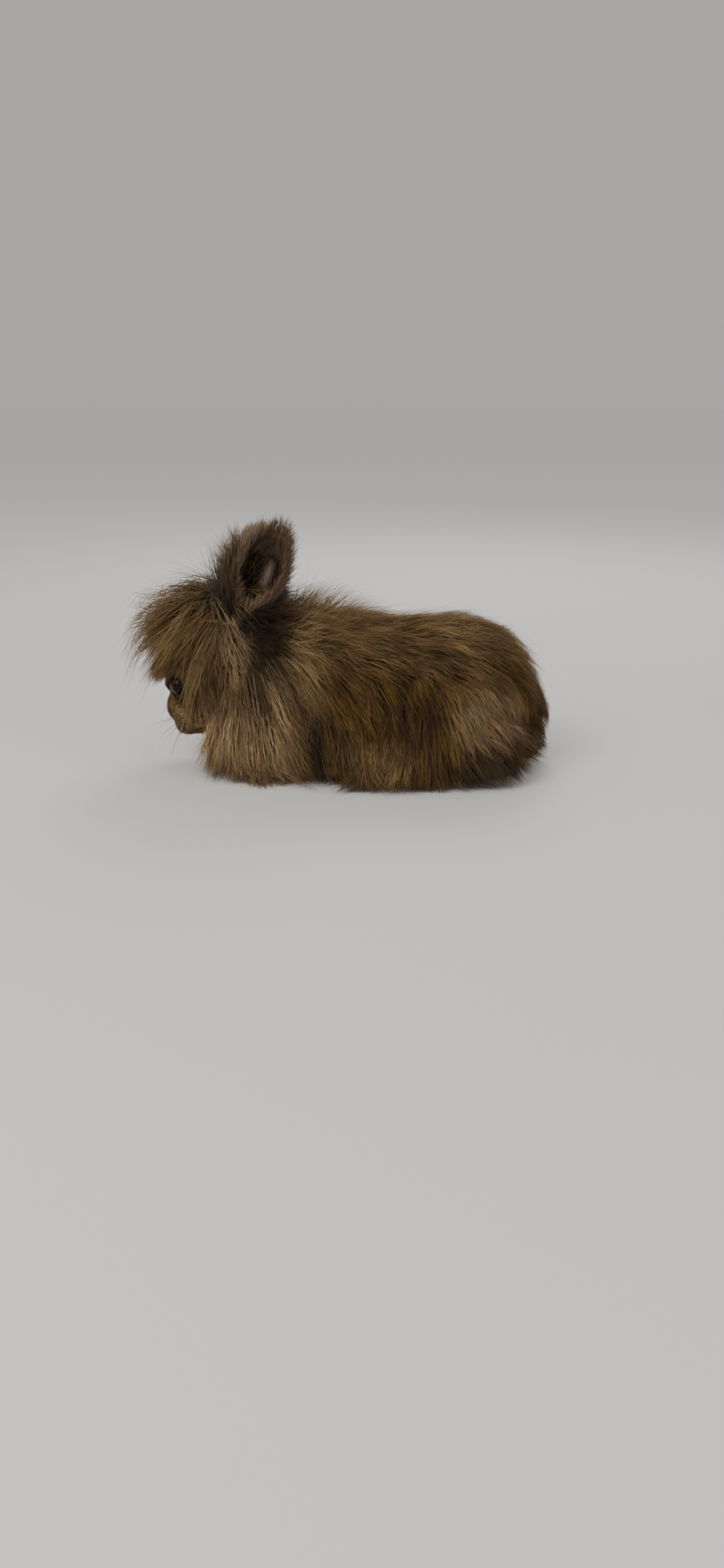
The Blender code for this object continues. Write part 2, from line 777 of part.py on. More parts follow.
# Ear: a cupped blade, a nearly closed tube at its root and an open cup above.
# Also gives the points along both rims with the way outward and the wall's normal.
def earShape(root, tip, bow, facing):
    shape = bmesh.new()
    rings = []
    rims = []
    ringCount = 12
    across = 9
    middle = (root + tip) * 0.5 + bow
    for j in range(ringCount):
        t = j / (ringCount - 1)
        centre = root * (1 - t) ** 2 + middle * 2 * t * (1 - t) + tip * t ** 2
        ahead = ((middle - root) * (1 - t) + (tip - middle) * t).normalized()
        face = (facing - ahead * facing.dot(ahead)).normalized()
        side = ahead.cross(face)
        unroll = smoothStep(0.10, 0.48, t)
        half = math.radians(160.0 - 56.0 * unroll - 22.0 * t)
        swell = 0.62 + 0.48 * smoothStep(0.0, 0.55, t)
        taper = math.sqrt(max(0.0, 1.0 - smoothStep(0.52, 1.06, t) ** 1.5))
        size = EAR_RADIUS * swell * max(0.16, taper)
        wall = EAR_THICKNESS * (1.25 - 0.45 * t)
        centre = centre + face * (size * 0.45 * unroll)
        outer = []
        inner = []
        for k in range(across):
            angle = -half + 2.0 * half * k / (across - 1)
            ray = side * math.sin(angle) - face * math.cos(angle)
            outer.append(shape.verts.new(centre + ray * size))
            inner.append(shape.verts.new(centre + ray * (size - wall)))
            if k in (0, across - 1):
                way = side * math.cos(angle) + face * math.sin(angle)
                way = way if k else -way
                rims.append((t, centre + ray * (size - wall * 0.5), way, ray, ahead))
        rings.append(outer + inner[::-1])
    total = 2 * across
    for low, high in zip(rings, rings[1:]):
        for k in range(total):
            after = (k + 1) % total
            shape.faces.new((low[k], low[after], high[after]))
            shape.faces.new((low[k], high[after], high[k]))
    for ring in (rings[0], rings[-1]):
        for k in range(across - 1):
            shape.faces.new((ring[k], ring[k + 1], ring[total - 2 - k], ring[total - 1 - k]))
    bmesh.ops.triangulate(shape, faces=shape.faces[:])
    bmesh.ops.recalc_face_normals(shape, faces=shape.faces[:])
    return shape, rims


# Long hair along the rims of an ear, longest low down
def earLocks(dice, rims, group):
    for number, (t, place, way, ray, ahead) in enumerate(rims):
        if t < 0.28 or t > 0.80 or (number // 2) % 2 == 0:
            continue
        length = vary(dice, 0.024 - 0.010 * t, 0.15)
        lie = (way * 0.45 + ahead * 1.0 - ray * 0.05).normalized()
        turned = (way * 0.15 + ahead * 1.0).normalized()
        path = [
            place - way * 0.0030,
            place + lie * length * 0.40,
            place + lie * length * 0.55 + turned * length * 0.25,
            place + lie * length * 0.60 + turned * length * 0.55,
        ]
        outs = [ray] * 4
        shape = lockShape(path, outs, vary(dice, 0.0095, 0.1), 0.0019, 0.1)
        meshObject("fringe_" + str(number), shape, group)


def addEar(word, dice, axes, group, paint):
    side = 1.0 if word == "left" else -1.0
    way, bow, facing = EAR_POSES[word]
    root = axes @ Vector((EAR_ROOT.x, EAR_ROOT.y * side, EAR_ROOT.z))
    tip = root + way.normalized() * EAR_LENGTH
    shape, rims = earShape(root, tip, bow, facing)
    ear = meshObject("ear_" + word, shape, group)
    locks = newCollection("fringe")
    earLocks(dice, rims, locks)
    fuse(ear, locks)
    ear.data.materials.append(paint)
    return ear


def mirroredLeg(name, forms, faces, side, group):
    leg = softBody(name, forms, Matrix.Identity(4), group, 0.0025, 3, faces)
    if side < 0.0:
        leg.data.transform(Matrix.Diagonal((-1.0, 1.0, 1.0, 1.0)))
        leg.data.flip_normals()
    sliceOff(leg, Vector((0.0, 0.0, 0.0)), Vector((0.0, 0.0, -1.0)))
    return leg


# The origin goes below the middle of the whole animal, on the floor
def centreOnFloor(group):
    corners = [vert.co for item in group.objects for vert in item.data.vertices]
    middle = Vector((0.0, 0.0, 0.0))
    for axis in (0, 1):
        values = [corner[axis] for corner in corners]
        middle[axis] = -0.5 * (min(values) + max(values))
    for item in group.objects:
        item.data.transform(Matrix.Translation(middle))
        item.data.shade_smooth()
        item.data.set_sharp_from_angle(angle=math.radians(35.0))


def main():
    clearScene()
    dice = random.Random(SEED)
    rabbit = newCollection("lionhead_rabbit")
    cutters = newCollection("cutters")
    coat = material("coat", COAT, 0.9)
    mane = material("mane", MANE, 0.9)
    faceFur = material("face_fur", FACE, 0.85)
    earFur = material("ear_fur", EAR_FUR, 0.85)
    eyeDark = material("eye_dark", EYE_DARK, 0.08)
    axes = headAxes()

    # Bare forms of each part, parted by thin cuts
    torso = softBody("torso", TRUNK_FORMS, Matrix.Identity(4), rabbit, 0.0035, 6, 900)
    neck = torso.copy()
    neck.data = torso.data.copy()
    neck.name = "neck"
    rabbit.objects.link(neck)
    sliceOff(torso, NECK_CUT_POINT, NECK_CUT_NORMAL)
    sliceOff(neck, NECK_CUT_POINT + NECK_CUT_NORMAL * GAP, -NECK_CUT_NORMAL)
    head = softBody("head", HEAD_FORMS, axes, rabbit, 0.0018, 5, 1250, bothSides=True)
    makeRoom(neck, [head], cutters)
    eyes = addEyes(head, axes, rabbit, eyeDark, cutters)
    carveMuzzle(head, axes, cutters)
    ears = []
    for word in ("left", "right"):
        ear = addEar(word, dice, axes, rabbit, earFur)
        makeRoom(ear, [head, neck], cutters)
        ears.append(ear)
    legs = []
    for side, word in ((1.0, "left"), (-1.0, "right")):
        legs.append(mirroredLeg("foreleg_" + word, FORELEG_FORMS, 220, side, rabbit))
        legs.append(mirroredLeg("hindleg_" + word, HINDLEG_FORMS, 320, side, rabbit))
    forelegs = [leg for leg in legs if leg.name.startswith("fore")]
    hindlegs = [leg for leg in legs if leg.name.startswith("hind")]
    makeRoom(torso, legs, cutters)
    makeRoom(neck, forelegs, cutters)
    tail = softBody("tail", TAIL_FORMS, Matrix.Identity(4), rabbit, 0.002, 3, 200)
    makeRoom(tail, [torso], cutters)
    for item in [torso, tail] + legs:
        item.data.materials.append(coat)
    neck.data.materials.append(mane)
    head.data.materials.append(faceFur)

    # Locks of each part, in the order that lets the later ones lie over the earlier
    guide = treeOf([torso, neck, head, tail] + legs)
    growCoat(head, headPlans(dice, treeOf([head]), axes), guide,
             [treeOf([item], GAP) for item in [neck, torso] + ears + forelegs]
             + [treeOf([eye], EYE_CLEARANCE) for eye in eyes])
    for side, leg in zip((1.0, -1.0), hindlegs):
        growCoat(leg, hindlegPlans(dice, treeOf([leg]), side), guide,
                 [treeOf([torso], GAP)])
    growCoat(tail, tailPlans(dice, treeOf([tail])), guide, [treeOf([torso], GAP)])
    growCoat(torso, trunkPlans(dice, treeOf([torso])), guide,
             [treeOf([item], GAP) for item in [neck, head, tail] + ears + legs])
    growCoat(neck, manePlans(dice, treeOf([neck])), guide,
             [treeOf([item], GAP) for item in [head, torso] + ears + legs])
    bpy.data.collections.remove(cutters)
    centreOnFloor(rabbit)


main()
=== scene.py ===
# Lionhead rabbit: skin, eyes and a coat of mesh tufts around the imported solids.
import math

import bmesh
import bpy
import numpy as np
from mathutils import Matrix, Vector
from mathutils.bvhtree import BVHTree
from mathutils.kdtree import KDTree


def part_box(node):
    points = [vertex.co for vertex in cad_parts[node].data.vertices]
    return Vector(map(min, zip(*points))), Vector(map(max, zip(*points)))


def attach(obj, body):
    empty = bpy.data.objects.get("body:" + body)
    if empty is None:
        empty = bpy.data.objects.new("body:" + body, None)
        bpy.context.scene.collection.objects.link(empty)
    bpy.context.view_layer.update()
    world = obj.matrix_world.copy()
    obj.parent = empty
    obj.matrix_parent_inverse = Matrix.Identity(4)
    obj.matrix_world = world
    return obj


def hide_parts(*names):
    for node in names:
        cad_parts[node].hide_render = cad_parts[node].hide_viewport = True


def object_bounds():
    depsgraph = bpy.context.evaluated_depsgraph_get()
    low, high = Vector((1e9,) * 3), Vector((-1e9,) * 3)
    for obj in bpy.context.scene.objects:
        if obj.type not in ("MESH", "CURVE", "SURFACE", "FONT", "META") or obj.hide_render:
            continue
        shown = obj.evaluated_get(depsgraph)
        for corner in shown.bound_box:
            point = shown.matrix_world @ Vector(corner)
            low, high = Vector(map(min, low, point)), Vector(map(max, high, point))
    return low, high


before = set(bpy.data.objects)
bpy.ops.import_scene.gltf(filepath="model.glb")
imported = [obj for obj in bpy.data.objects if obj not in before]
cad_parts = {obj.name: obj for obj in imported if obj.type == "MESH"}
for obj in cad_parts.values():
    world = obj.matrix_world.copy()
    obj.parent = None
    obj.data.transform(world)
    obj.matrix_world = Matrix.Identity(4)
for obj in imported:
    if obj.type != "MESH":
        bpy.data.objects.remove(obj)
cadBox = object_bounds()
print("frame loaded")

# Metres; the rabbit faces -Y and its left side is +X
pose = {
    "headPitch": math.radians(45.0),
    "headYaw": math.radians(30.0),
    "headCentre": Vector((-0.0081, -0.0959, 0.0592)),
    "eyePlace": Vector((0.0005, 0.0200, 0.0030)),
    "eyeLook": Vector((0.22, 1.0, 0.10)),
    "noseTip": Vector((0.0418, 0.0, -0.0111)),
    "earRoot": Vector((-0.064, 0.0130, 0.0050)),
    "whorl": Vector((-0.061, 0.0, 0.030)),
}


def headAxes():
    pitch, yaw = pose["headPitch"], pose["headYaw"]
    forward = Vector((
        -math.cos(pitch) * math.sin(yaw), -math.cos(pitch) * math.cos(yaw), -math.sin(pitch),
    ))
    left = Vector((math.cos(yaw), -math.sin(yaw), 0.0))
    up = forward.cross(left)
    turn = Matrix((forward, left, up)).transposed().to_4x4()
    return Matrix.Translation(pose["headCentre"]) @ turn


# The solids stand centred on the origin, so everything here is moved by the same step
eyeLow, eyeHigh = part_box("eye_left")
headWorld = headAxes()
step = (eyeLow + eyeHigh) / 2 - headWorld @ pose["eyePlace"]
step.z = 0.0
headWorld = Matrix.Translation(step) @ headWorld
headTurn = np.array(headWorld.to_3x3())
headPlace = np.array(headWorld.translation)
shift = np.array(step)


def smoothStep(low, high, value):
    t = np.clip((value - low) / (high - low), 0.0, 1.0)
    return t * t * (3.0 - 2.0 * t)


def unit(vectors):
    size = np.linalg.norm(vectors, axis=-1, keepdims=True)
    return vectors / np.maximum(size, 1e-9)


def toHead(points):
    return (points - headPlace) @ headTurn


def fromHead(vectors):
    return vectors @ headTurn.T


def meshFrom(name, points, triangles, smooth=True):
    mesh = bpy.data.meshes.new(name)
    mesh.vertices.add(len(points))
    mesh.vertices.foreach_set("co", np.ascontiguousarray(points, np.float32).ravel())
    mesh.loops.add(len(triangles) * 3)
    mesh.loops.foreach_set("vertex_index", np.ascontiguousarray(triangles, np.int32).ravel())
    mesh.polygons.add(len(triangles))
    mesh.polygons.foreach_set("loop_start", np.arange(0, len(triangles) * 3, 3, dtype=np.int32))
    mesh.update(calc_edges=True)
    if smooth:
        mesh.shade_smooth()
    item = bpy.data.objects.new(name, mesh)
    bpy.context.scene.collection.objects.link(item)
    return item


# Forms of the body: centre, radii, and how far the skin lies inside the solid
body = {
    "voxel": 0.0014,
    "relax": 5,
    "trunk": (
        ((0.0, 0.075, 0.050), (0.052, 0.062, 0.047), 0.004),
        ((0.0, 0.078, 0.060), (0.045, 0.050, 0.0405), 0.004),
        ((0.0, 0.022, 0.056), (0.0482, 0.066, 0.045), 0.004),
        ((0.0, -0.022, 0.059), (0.043, 0.040, 0.047), 0.004),
        ((0.0, 0.030, 0.036), (0.050, 0.066, 0.032), 0.004),
        ((0.002, -0.048, 0.072), (0.036, 0.034, 0.038), 0.004),
        ((0.002, -0.056, 0.037), (0.036, 0.026, 0.034), 0.004),
    ),
    "head": (
        ((-0.014, 0.0, 0.0015), (0.039, 0.0250, 0.0245), 0.0016),
        ((-0.048, 0.0, 0.0010), (0.026, 0.0230, 0.0220), 0.0030),
        ((-0.040, 0.0, 0.0155), (0.037, 0.0260, 0.0255), 0.0035),
        ((0.013, 0.0, -0.0030), (0.030, 0.0145, 0.0155), 0.0012),
        ((0.0285, 0.0050, -0.0140), (0.0120, 0.0092, 0.0098), 0.0009),
        ((0.0362, 0.0, -0.0108), (0.0060, 0.0062, 0.0052), 0.0006),
        ((0.006, 0.0130, -0.0140), (0.023, 0.0125, 0.0155), 0.0012),
        ((0.0225, 0.0, -0.0222), (0.0110, 0.0085, 0.0058), 0.0010),
        ((0.005, 0.0, -0.0215), (0.0240, 0.0150, 0.0100), 0.0015),
        ((0.001, 0.0165, 0.0050), (0.0130, 0.0080, 0.0095), 0.0008),
    ),
    "foreleg": (
        ((0.019, -0.063, 0.0080), (0.0100, 0.0180, 0.0100), 0.0012),
        ((0.021, -0.047, 0.0150), (0.0115, 0.0140, 0.0150), 0.0015),
        ((0.024, -0.038, 0.0270), (0.0115, 0.0125, 0.0180), 0.0020),
    ),
    "hindleg": (
        ((0.039, 0.073, 0.0420), (0.0195, 0.0410, 0.0360), 0.0035),
        ((0.040, 0.040, 0.0260), (0.0170, 0.0270, 0.0200), 0.0025),
        ((0.038, 0.024, 0.0090), (0.0125, 0.0300, 0.0110), 0.0012),
        ((0.038, 0.076, 0.0095), (0.0120, 0.0420, 0.0110), 0.0012),
    ),
    "tail": (
        ((0.0, 0.1315, 0.0290), (0.0130, 0.0095, 0.0150), 0.0015),
        ((0.0, 0.1350, 0.0410), (0.0115, 0.0080, 0.0150), 0.0015),
    ),
}
bothSides = {"head": True, "foreleg": True, "hindleg": True}


def bodyForms(part):
    for centre, radii, depth in body[part]:
        yield centre, radii, depth
        across = 1 if part == "head" else 0
        if part in bothSides and centre[across] > 0.0:
            other = list(centre)
            other[across] = -centre[across]
            yield tuple(other), radii, depth


def makeSkin():
    shape = bmesh.new()
    for part in ("trunk", "head", "foreleg", "hindleg", "tail"):
        axes = headWorld if part == "head" else Matrix.Translation(step)
        for centre, radii, depth in bodyForms(part):
            size = [value - depth for value in radii]
            place = axes @ Matrix.Translation(centre) @ Matrix.Diagonal((*size, 1.0))
            bmesh.ops.create_icosphere(shape, subdivisions=4, radius=1.0, matrix=place)
    mesh = bpy.data.meshes.new("skin")
    shape.to_mesh(mesh)
    shape.free()
    item = bpy.data.objects.new("skin", mesh)
    bpy.context.scene.collection.objects.link(item)
    melt = item.modifiers.new("melt", "REMESH")
    melt.mode = "VOXEL"
    melt.voxel_size = body["voxel"]
    relax = item.modifiers.new("relax", "SMOOTH")
    relax.factor = 0.5
    relax.iterations = body["relax"]
    graph = bpy.context.evaluated_depsgraph_get()
    graph.update()
    made = bpy.data.meshes.new_from_object(item.evaluated_get(graph))
    item.modifiers.clear()
    item.data = made
    bpy.data.meshes.remove(mesh)
    shape = bmesh.new()
    shape.from_mesh(made)
    for vert in shape.verts:
        vert.co.z = max(vert.co.z, 0.0006)
    bmesh.ops.triangulate(shape, faces=shape.faces[:])
    shape.to_mesh(made)
    shape.free()
    made.shade_smooth()
    return item


skin = makeSkin()
skinPoints = np.zeros(len(skin.data.vertices) * 3, np.float32)
skin.data.vertices.foreach_get("co", skinPoints)
skinPoints = skinPoints.reshape(-1, 3).astype(float)
skinFaces = np.zeros(len(skin.data.polygons) * 3, np.int32)
skin.data.polygons.foreach_get("vertices", skinFaces)
skinFaces = skinFaces.reshape(-1, 3)
skinTree = BVHTree.FromPolygons(skinPoints.tolist(), skinFaces.tolist())
print("skin", len(skinFaces), "faces")


# Which part of the body each point is nearest to
def partOf(points):
    names = ("trunk", "head", "foreleg", "hindleg", "tail")
    best = np.full(len(points), 1e9)
    label = np.zeros(len(points), int)
    for number, part in enumerate(names):
        local = toHead(points) if part == "head" else points - shift
        for centre, radii, depth in bodyForms(part):
            size = np.array(radii) - depth
            value = np.linalg.norm((local - np.array(centre)) / size, axis=1) - 1.0
            value = value * size.min()
            closer = value < best
            best[closer] = value[closer]
            label[closer] = number
    return label


trunkPart, headPart, forelegPart, hindlegPart, tailPart = range(5)


# Flat places on the map for the skin's shape: rolled out round each part's own axis
def rollOut(points, label):
    local = toHead(points)
    body2 = points - shift
    turnHead = np.arctan2(local[:, 1], local[:, 2]) / (2 * math.pi) + 0.5
    turnBody = np.arctan2(body2[:, 0], body2[:, 2] - 0.05) / (2 * math.pi) + 0.5
    u = 0.03 + 0.54 * turnBody
    v = 0.03 + 0.94 * np.clip((body2[:, 1] + 0.10) / 0.26, 0, 1)
    isHead = label == headPart
    u = np.where(isHead, 0.60 + 0.37 * turnHead, u)
    v = np.where(isHead, 0.52 + 0.45 * np.clip((local[:, 0] + 0.08) / 0.13, 0, 1), v)
    for part, low in ((forelegPart, 0.36), (hindlegPart, 0.04)):
        side = np.sign(body2[:, 0])
        isLeg = label == part
        turn = np.arctan2(body2[:, 0] - 0.038 * side, body2[:, 2] - 0.03) / (2 * math.pi) + 0.5
        u = np.where(isLeg, 0.60 + 0.18 * turn + 0.19 * (side > 0), u)
        tall = 0.12 if part == forelegPart else 0.29
        v = np.where(isLeg, low + tall * np.clip((body2[:, 1] + 0.09) / 0.22, 0, 1), v)
    return np.stack([u, v], 1)


# Lie, length, lift and width of the coat at each point, with its colours
coat = {
    "backLength": 0.040,
    "flankLength": 0.036,
    "maneLength": 0.052,
    "bibLength": 0.040,
    "forelockLength": 0.084,
    "rumpLength": 0.036,
    "haunchLength": 0.036,
    "tailLength": 0.020,
    "lift": 0.0125,
    "maneLift": 0.0150,
    "width": 0.00057,
    "shortWidth": 0.00038,
    "curl": 0.055,
    "seed": 11,
}

tones = {
    "back": ((0.052, 0.030, 0.010), (0.262, 0.160, 0.066)),
    "flank": ((0.025, 0.011, 0.002), (0.150, 0.079, 0.014)),
    "pale": ((0.125, 0.076, 0.032), (0.480, 0.322, 0.166)),
    "mane": ((0.105, 0.064, 0.026), (0.490, 0.330, 0.165)),
    "lock": ((0.046, 0.027, 0.008), (0.215, 0.130, 0.046)),
    "face": ((0.072, 0.038, 0.014), (0.270, 0.162, 0.072)),
    "cheek": ((0.085, 0.050, 0.020), (0.310, 0.195, 0.088)),
    # The dark tone serves both painted shade on the coat and the dark hair at the eyelids' edges
    "dark": ((0.009, 0.004, 0.002), (0.036, 0.018, 0.007)),
    "ear": ((0.052, 0.033, 0.019), (0.200, 0.130, 0.076)),
}


def blob(points, centre, radius):
    gap = np.linalg.norm((points - np.array(centre)) / np.array(radius), axis=1)
    return 1.0 - smoothStep(0.45, 1.25, gap)


def mixRows(rows, weights):
    total = np.maximum(sum(weights), 1e-6)[:, None]
    return sum(row * weight[:, None] for row, weight in zip(rows, weights)) / total


# Everything the coat does at these points, as one dictionary of arrays
def coatAt(points, normals, label):
    local = toHead(points)
    p = points - shift
    side = np.clip(p[:, 0] / 0.016, -1.0, 1.0)
    ones = np.ones(len(p))
    count = len(p)
    flow = np.zeros((count, 3))
    length = np.zeros(count)
    lift = np.full(count, coat["lift"])
    width = np.full(count, coat["width"])
    cling = np.full(count, 0.7)

    top = smoothStep(0.070, 0.098, p[:, 2])
    rump = smoothStep(0.085, 0.130, p[:, 1])
    back = np.stack([0.22 * side, ones, -0.10 - 0.9 * rump], 1)
    down = np.stack([0.10 * side, 0.42 - 0.15 * rump, -ones], 1)
    trunkLie = unit(back * top[:, None] + down * (1 - top)[:, None])
    lowRear = 1.0 - smoothStep(0.030, 0.065, p[:, 2])
    rumpLie = unit(np.stack([p[:, 0] * 6.0, 0.5 + 0.75 * lowRear, -1.0 + 0.2 * lowRear], 1))
    behind = smoothStep(0.100, 0.125, p[:, 1])
    trunkLie = unit(trunkLie * (1 - behind)[:, None] + rumpLie * behind[:, None])
    maneTop = smoothStep(0.075, 0.115, p[:, 2])
    front = smoothStep(-0.055, -0.080, p[:, 1])
    maneBack = np.stack([0.45 * side, ones, -0.35 * ones], 1)
    spread = 0.12 + 0.80 * (1 - smoothStep(0.025, 0.060, p[:, 2])) * (1 - front)
    maneDown = np.stack([spread * side, 0.30 - 0.80 * front, -ones], 1)
    maneLie = unit(maneBack * maneTop[:, None] + maneDown * (1 - maneTop)[:, None])
    mane = 1.0 - smoothStep(-0.030, 0.000, p[:, 1])
    low = 1.0 - smoothStep(0.020, 0.045, p[:, 2])

    trunk = label == trunkPart
    flow[trunk] = unit(trunkLie * (1 - mane)[:, None] + maneLie * mane[:, None])[trunk]
    size = coat["backLength"] * top + coat["flankLength"] * (1 - top)
    size = size * (1 - behind) + coat["rumpLength"] * behind
    maneSize = coat["maneLength"] * (1 - front) + coat["bibLength"] * front
    length[trunk] = (size * (1 - mane) + maneSize * mane)[trunk]
    lift[trunk] = (coat["lift"] * (1 - 0.50 * behind) * (1 - mane) + coat["maneLift"] * mane)[trunk]
    cling[trunk] = ((0.75 - 0.45 * low) * (1 - 0.4 * behind) * (1 - 0.4 * front))[trunk]

    haunch = label == hindlegPart
    fan = 0.9 * (p[:, 1] - 0.070) / 0.04
    lie = unit(np.stack([0.28 * side, 0.35 + np.clip(fan, -0.6, 1.5), -ones], 1))
    foot = 1.0 - smoothStep(0.010, 0.026, p[:, 2])
    toes = unit(np.stack([0.05 * side, -ones, -0.25 * ones], 1))
    flow[haunch] = unit(lie * (1 - foot)[:, None] + toes * foot[:, None])[haunch]
    length[haunch] = (coat["haunchLength"] * (1 - foot) + 0.008 * foot)[haunch]
    lift[haunch] = (coat["lift"] * (1 - foot) + 0.0018 * foot)[haunch]
    cling[haunch] = (0.65 - 0.4 * low)[haunch]

    arm = label == forelegPart
    high = smoothStep(0.014, 0.034, p[:, 2])
    lie = unit(np.stack([0.05 * side, -0.7 + 0.4 * high, -0.3 - 0.7 * high], 1))
    flow[arm] = lie[arm]
    length[arm] = (0.006 + 0.014 * high)[arm]
    lift[arm] = (0.0016 + 0.006 * high)[arm]
    width[arm] = coat["shortWidth"]

    tail = label == tailPart
    flow[tail] = unit(np.stack([0.0 * ones, 0.25 * ones, ones], 1))[tail]
    length[tail] = coat["tailLength"]
    lift[tail] = 0.0050
    cling[tail] = 0.6

    head = label == headPart
    hx, hy, hz = local[:, 0], local[:, 1], local[:, 2]
    localNormal = normals @ headTurn
    hside = np.clip(hy / 0.010, -1.0, 1.0)
    crown = smoothStep(0.006, 0.014, hz) * (1 - smoothStep(0.001, 0.009, hx))
    crown = crown * (1 - smoothStep(0.014, 0.024, np.abs(hy)) * smoothStep(0.020, 0.012, hz))
    nape = smoothStep(-0.058, -0.068, hx) * smoothStep(0.10, 0.50, -localNormal[:, 0])
    sides = (1 - smoothStep(-0.018, -0.008, hx)) * smoothStep(-0.016, -0.006, hz)
    cheek = (1 - smoothStep(0.012, 0.024, hx)) * (1 - smoothStep(-0.008, 0.002, hz))
    cheek = cheek * smoothStep(0.004, 0.010, np.abs(hy))
    jaw = smoothStep(0.35, 0.75, -localNormal[:, 2]) * (1 - smoothStep(0.014, 0.026, hx))
    crown = crown * (1 - nape)
    sides = sides * (1 - crown) * (1 - nape)
    cheek = cheek * (1 - sides) * (1 - crown)
    jaw = jaw * (1 - sides)
    face = np.clip(1 - crown - nape - sides - cheek - jaw, 0.02, 1)
    row = np.clip((hx + 0.066) / 0.0125, 0, 5)
    lean = -0.52 - 0.19 * np.clip(row, 0.0, 2.4) - 0.05 * row
    rear = 1.0 - smoothStep(-0.070, -0.053, hx)
    lock = unit(np.stack([-0.12 * ones, -ones, lean + 1.25 * rear], 1) + fromHead(
        np.stack([0 * ones, hy * (14.0 + 5.0 * rear), 0 * ones], 1)))
    napeLie = unit(np.stack([0 * ones, ones, -0.15 * ones], 1) + fromHead(
        np.stack([0 * ones, hy * 20.0, 0 * ones], 1)))
    sideLie = unit(np.stack([0.10 * hside, 0.08 * ones, -ones], 1))
    cheekLie = unit(fromHead(np.stack([-0.9 * ones, 0.25 * hside, -0.45 * ones], 1))
                    + np.array([0.0, 0.0, -0.5]))
    jawLie = unit(fromHead(np.stack([-0.9 * ones, 0 * ones, -0.6 * ones], 1))
                  + np.array([0.0, 0.0, -0.3]))
    fromNose = local - np.array([0.046, 0.0, -0.010])
    faceLie = unit(fromHead(unit(fromNose) + np.array([-0.5, 0.0, 0.05])))
    rows = [lock, napeLie, sideLie, cheekLie, jawLie, faceLie]
    weights = [crown, nape, sides, cheek, jaw, face]
    flow[head] = unit(mixRows(rows, weights))[head]
    near = smoothStep(0.036, 0.0, hx)
    tipGap = np.linalg.norm(local - np.array(pose["noseTip"]), axis=1)
    fine = smoothStep(0.004, 0.020, tipGap)
    forelock = np.clip(coat["forelockLength"] - 0.0120 * row, 0.018, 0.09)
    forelock = forelock * (1 - 0.30 * smoothStep(0.007, 0.019, np.abs(hy))
                           * smoothStep(0.8, 2.2, row))
    sizes = [
        forelock * (1 - 0.34 * rear),
        0.034 * ones,
        0.044 - 0.012 * (1 - smoothStep(-0.01, 0.02, hz)),
        0.0135 + 0.0145 * smoothStep(0.012, -0.022, hx),
        0.0110 + 0.0170 * smoothStep(0.018, -0.010, hx),
        0.0018 + 0.0030 * fine + 0.0062 * near,
    ]
    lifts = [0.0170 - 0.0050 * smoothStep(1.6, 3.4, row) + 0.0040 * rear,
             0.0120 * ones, 0.0115 * ones,
             0.0042 + 0.0040 * smoothStep(0.010, -0.025, hx), 0.0085 * ones,
             0.0007 + 0.0008 * fine + 0.0015 * near]
    total = sum(weights)
    length[head] = (sum(a * b for a, b in zip(sizes, weights)) / total)[head]
    lift[head] = (sum(a * b for a, b in zip(lifts, weights)) / total)[head]
    short = (face + 0.5 * cheek) / total
    width[head] = (coat["width"] * (1 - short) + coat["shortWidth"] * short)[head]
    cling[head] = (0.15 * crown + 0.4 * nape + 0.45 * sides + 0.6 * cheek + 0.6 * jaw
                   + 0.9 * face)[head] / total[head]

    return {"flow": flow, "length": length, "lift": lift, "width": width, "cling": cling}


eyeCentres = {}
eyeLooks = {}
for side, word in ((1.0, "left"), (-1.0, "right")):
    flip = Vector((1.0, side, 1.0))
    eyeCentres[word] = np.array(headWorld @ (pose["eyePlace"] * flip))
    eyeLooks[word] = np.array((headWorld.to_3x3() @ (pose["eyeLook"] * flip)).normalized())


# Soft uneven patches, the same on every run
def mottle(points, size, seed):
    turn = np.random.default_rng(seed)
    value = np.zeros(len(points))
    for _ in range(7):
        way = unit(turn.normal(0, 1, 3)) * 2 * math.pi / (size * turn.uniform(0.7, 1.5))
        value += np.sin(points @ way + turn.uniform(0, 2 * math.pi))
    return value / 2.6


patches = {
    "pale": (
        # The first patch is painted reflected light on the haunch
        ((0.056, 0.104, 0.046), (0.05, 0.031, 0.026), 0.66),
        ((0.060, 0.031, 0.018), (0.04, 0.031, 0.019), 0.28),
        ((0.030, -0.078, 0.028), (0.060, 0.034, 0.025), 1.60),
        ((0.030, -0.048, 0.022), (0.060, 0.030, 0.024), 1.50),
    ),
    "mane": (
        ((0.045, -0.065, 0.092), (0.03, 0.0095, 0.028), 2.00),
        ((0.045, -0.016, 0.096), (0.03, 0.0056, 0.021), 0.80),
        ((0.060, -0.011, 0.070), (0.03, 0.0050, 0.014), 0.65),
        ((0.060, -0.030, 0.052), (0.03, 0.0070, 0.020), 0.80),
    ),
    "dark": (
        # The first two paint shade in the gap behind the ear's base and the last paints shade low
        # at the rear; the others darken narrow strips on the flank and haunch
        ((0.045, -0.041, 0.091), (0.03, 0.0115, 0.034), 3.20),
        ((0.050, -0.049, 0.060), (0.03, 0.0090, 0.014), 2.40),
        ((0.062, -0.011, 0.028), (0.03, 0.0065, 0.024), 1.60),
        ((0.062, 0.046, 0.054), (0.03, 0.0045, 0.022), 0.80),
        ((0.062, 0.064, 0.046), (0.03, 0.0040, 0.020), 0.70),
        ((0.050, 0.098, 0.014), (0.03, 0.0300, 0.012), 0.70),
    ),
}
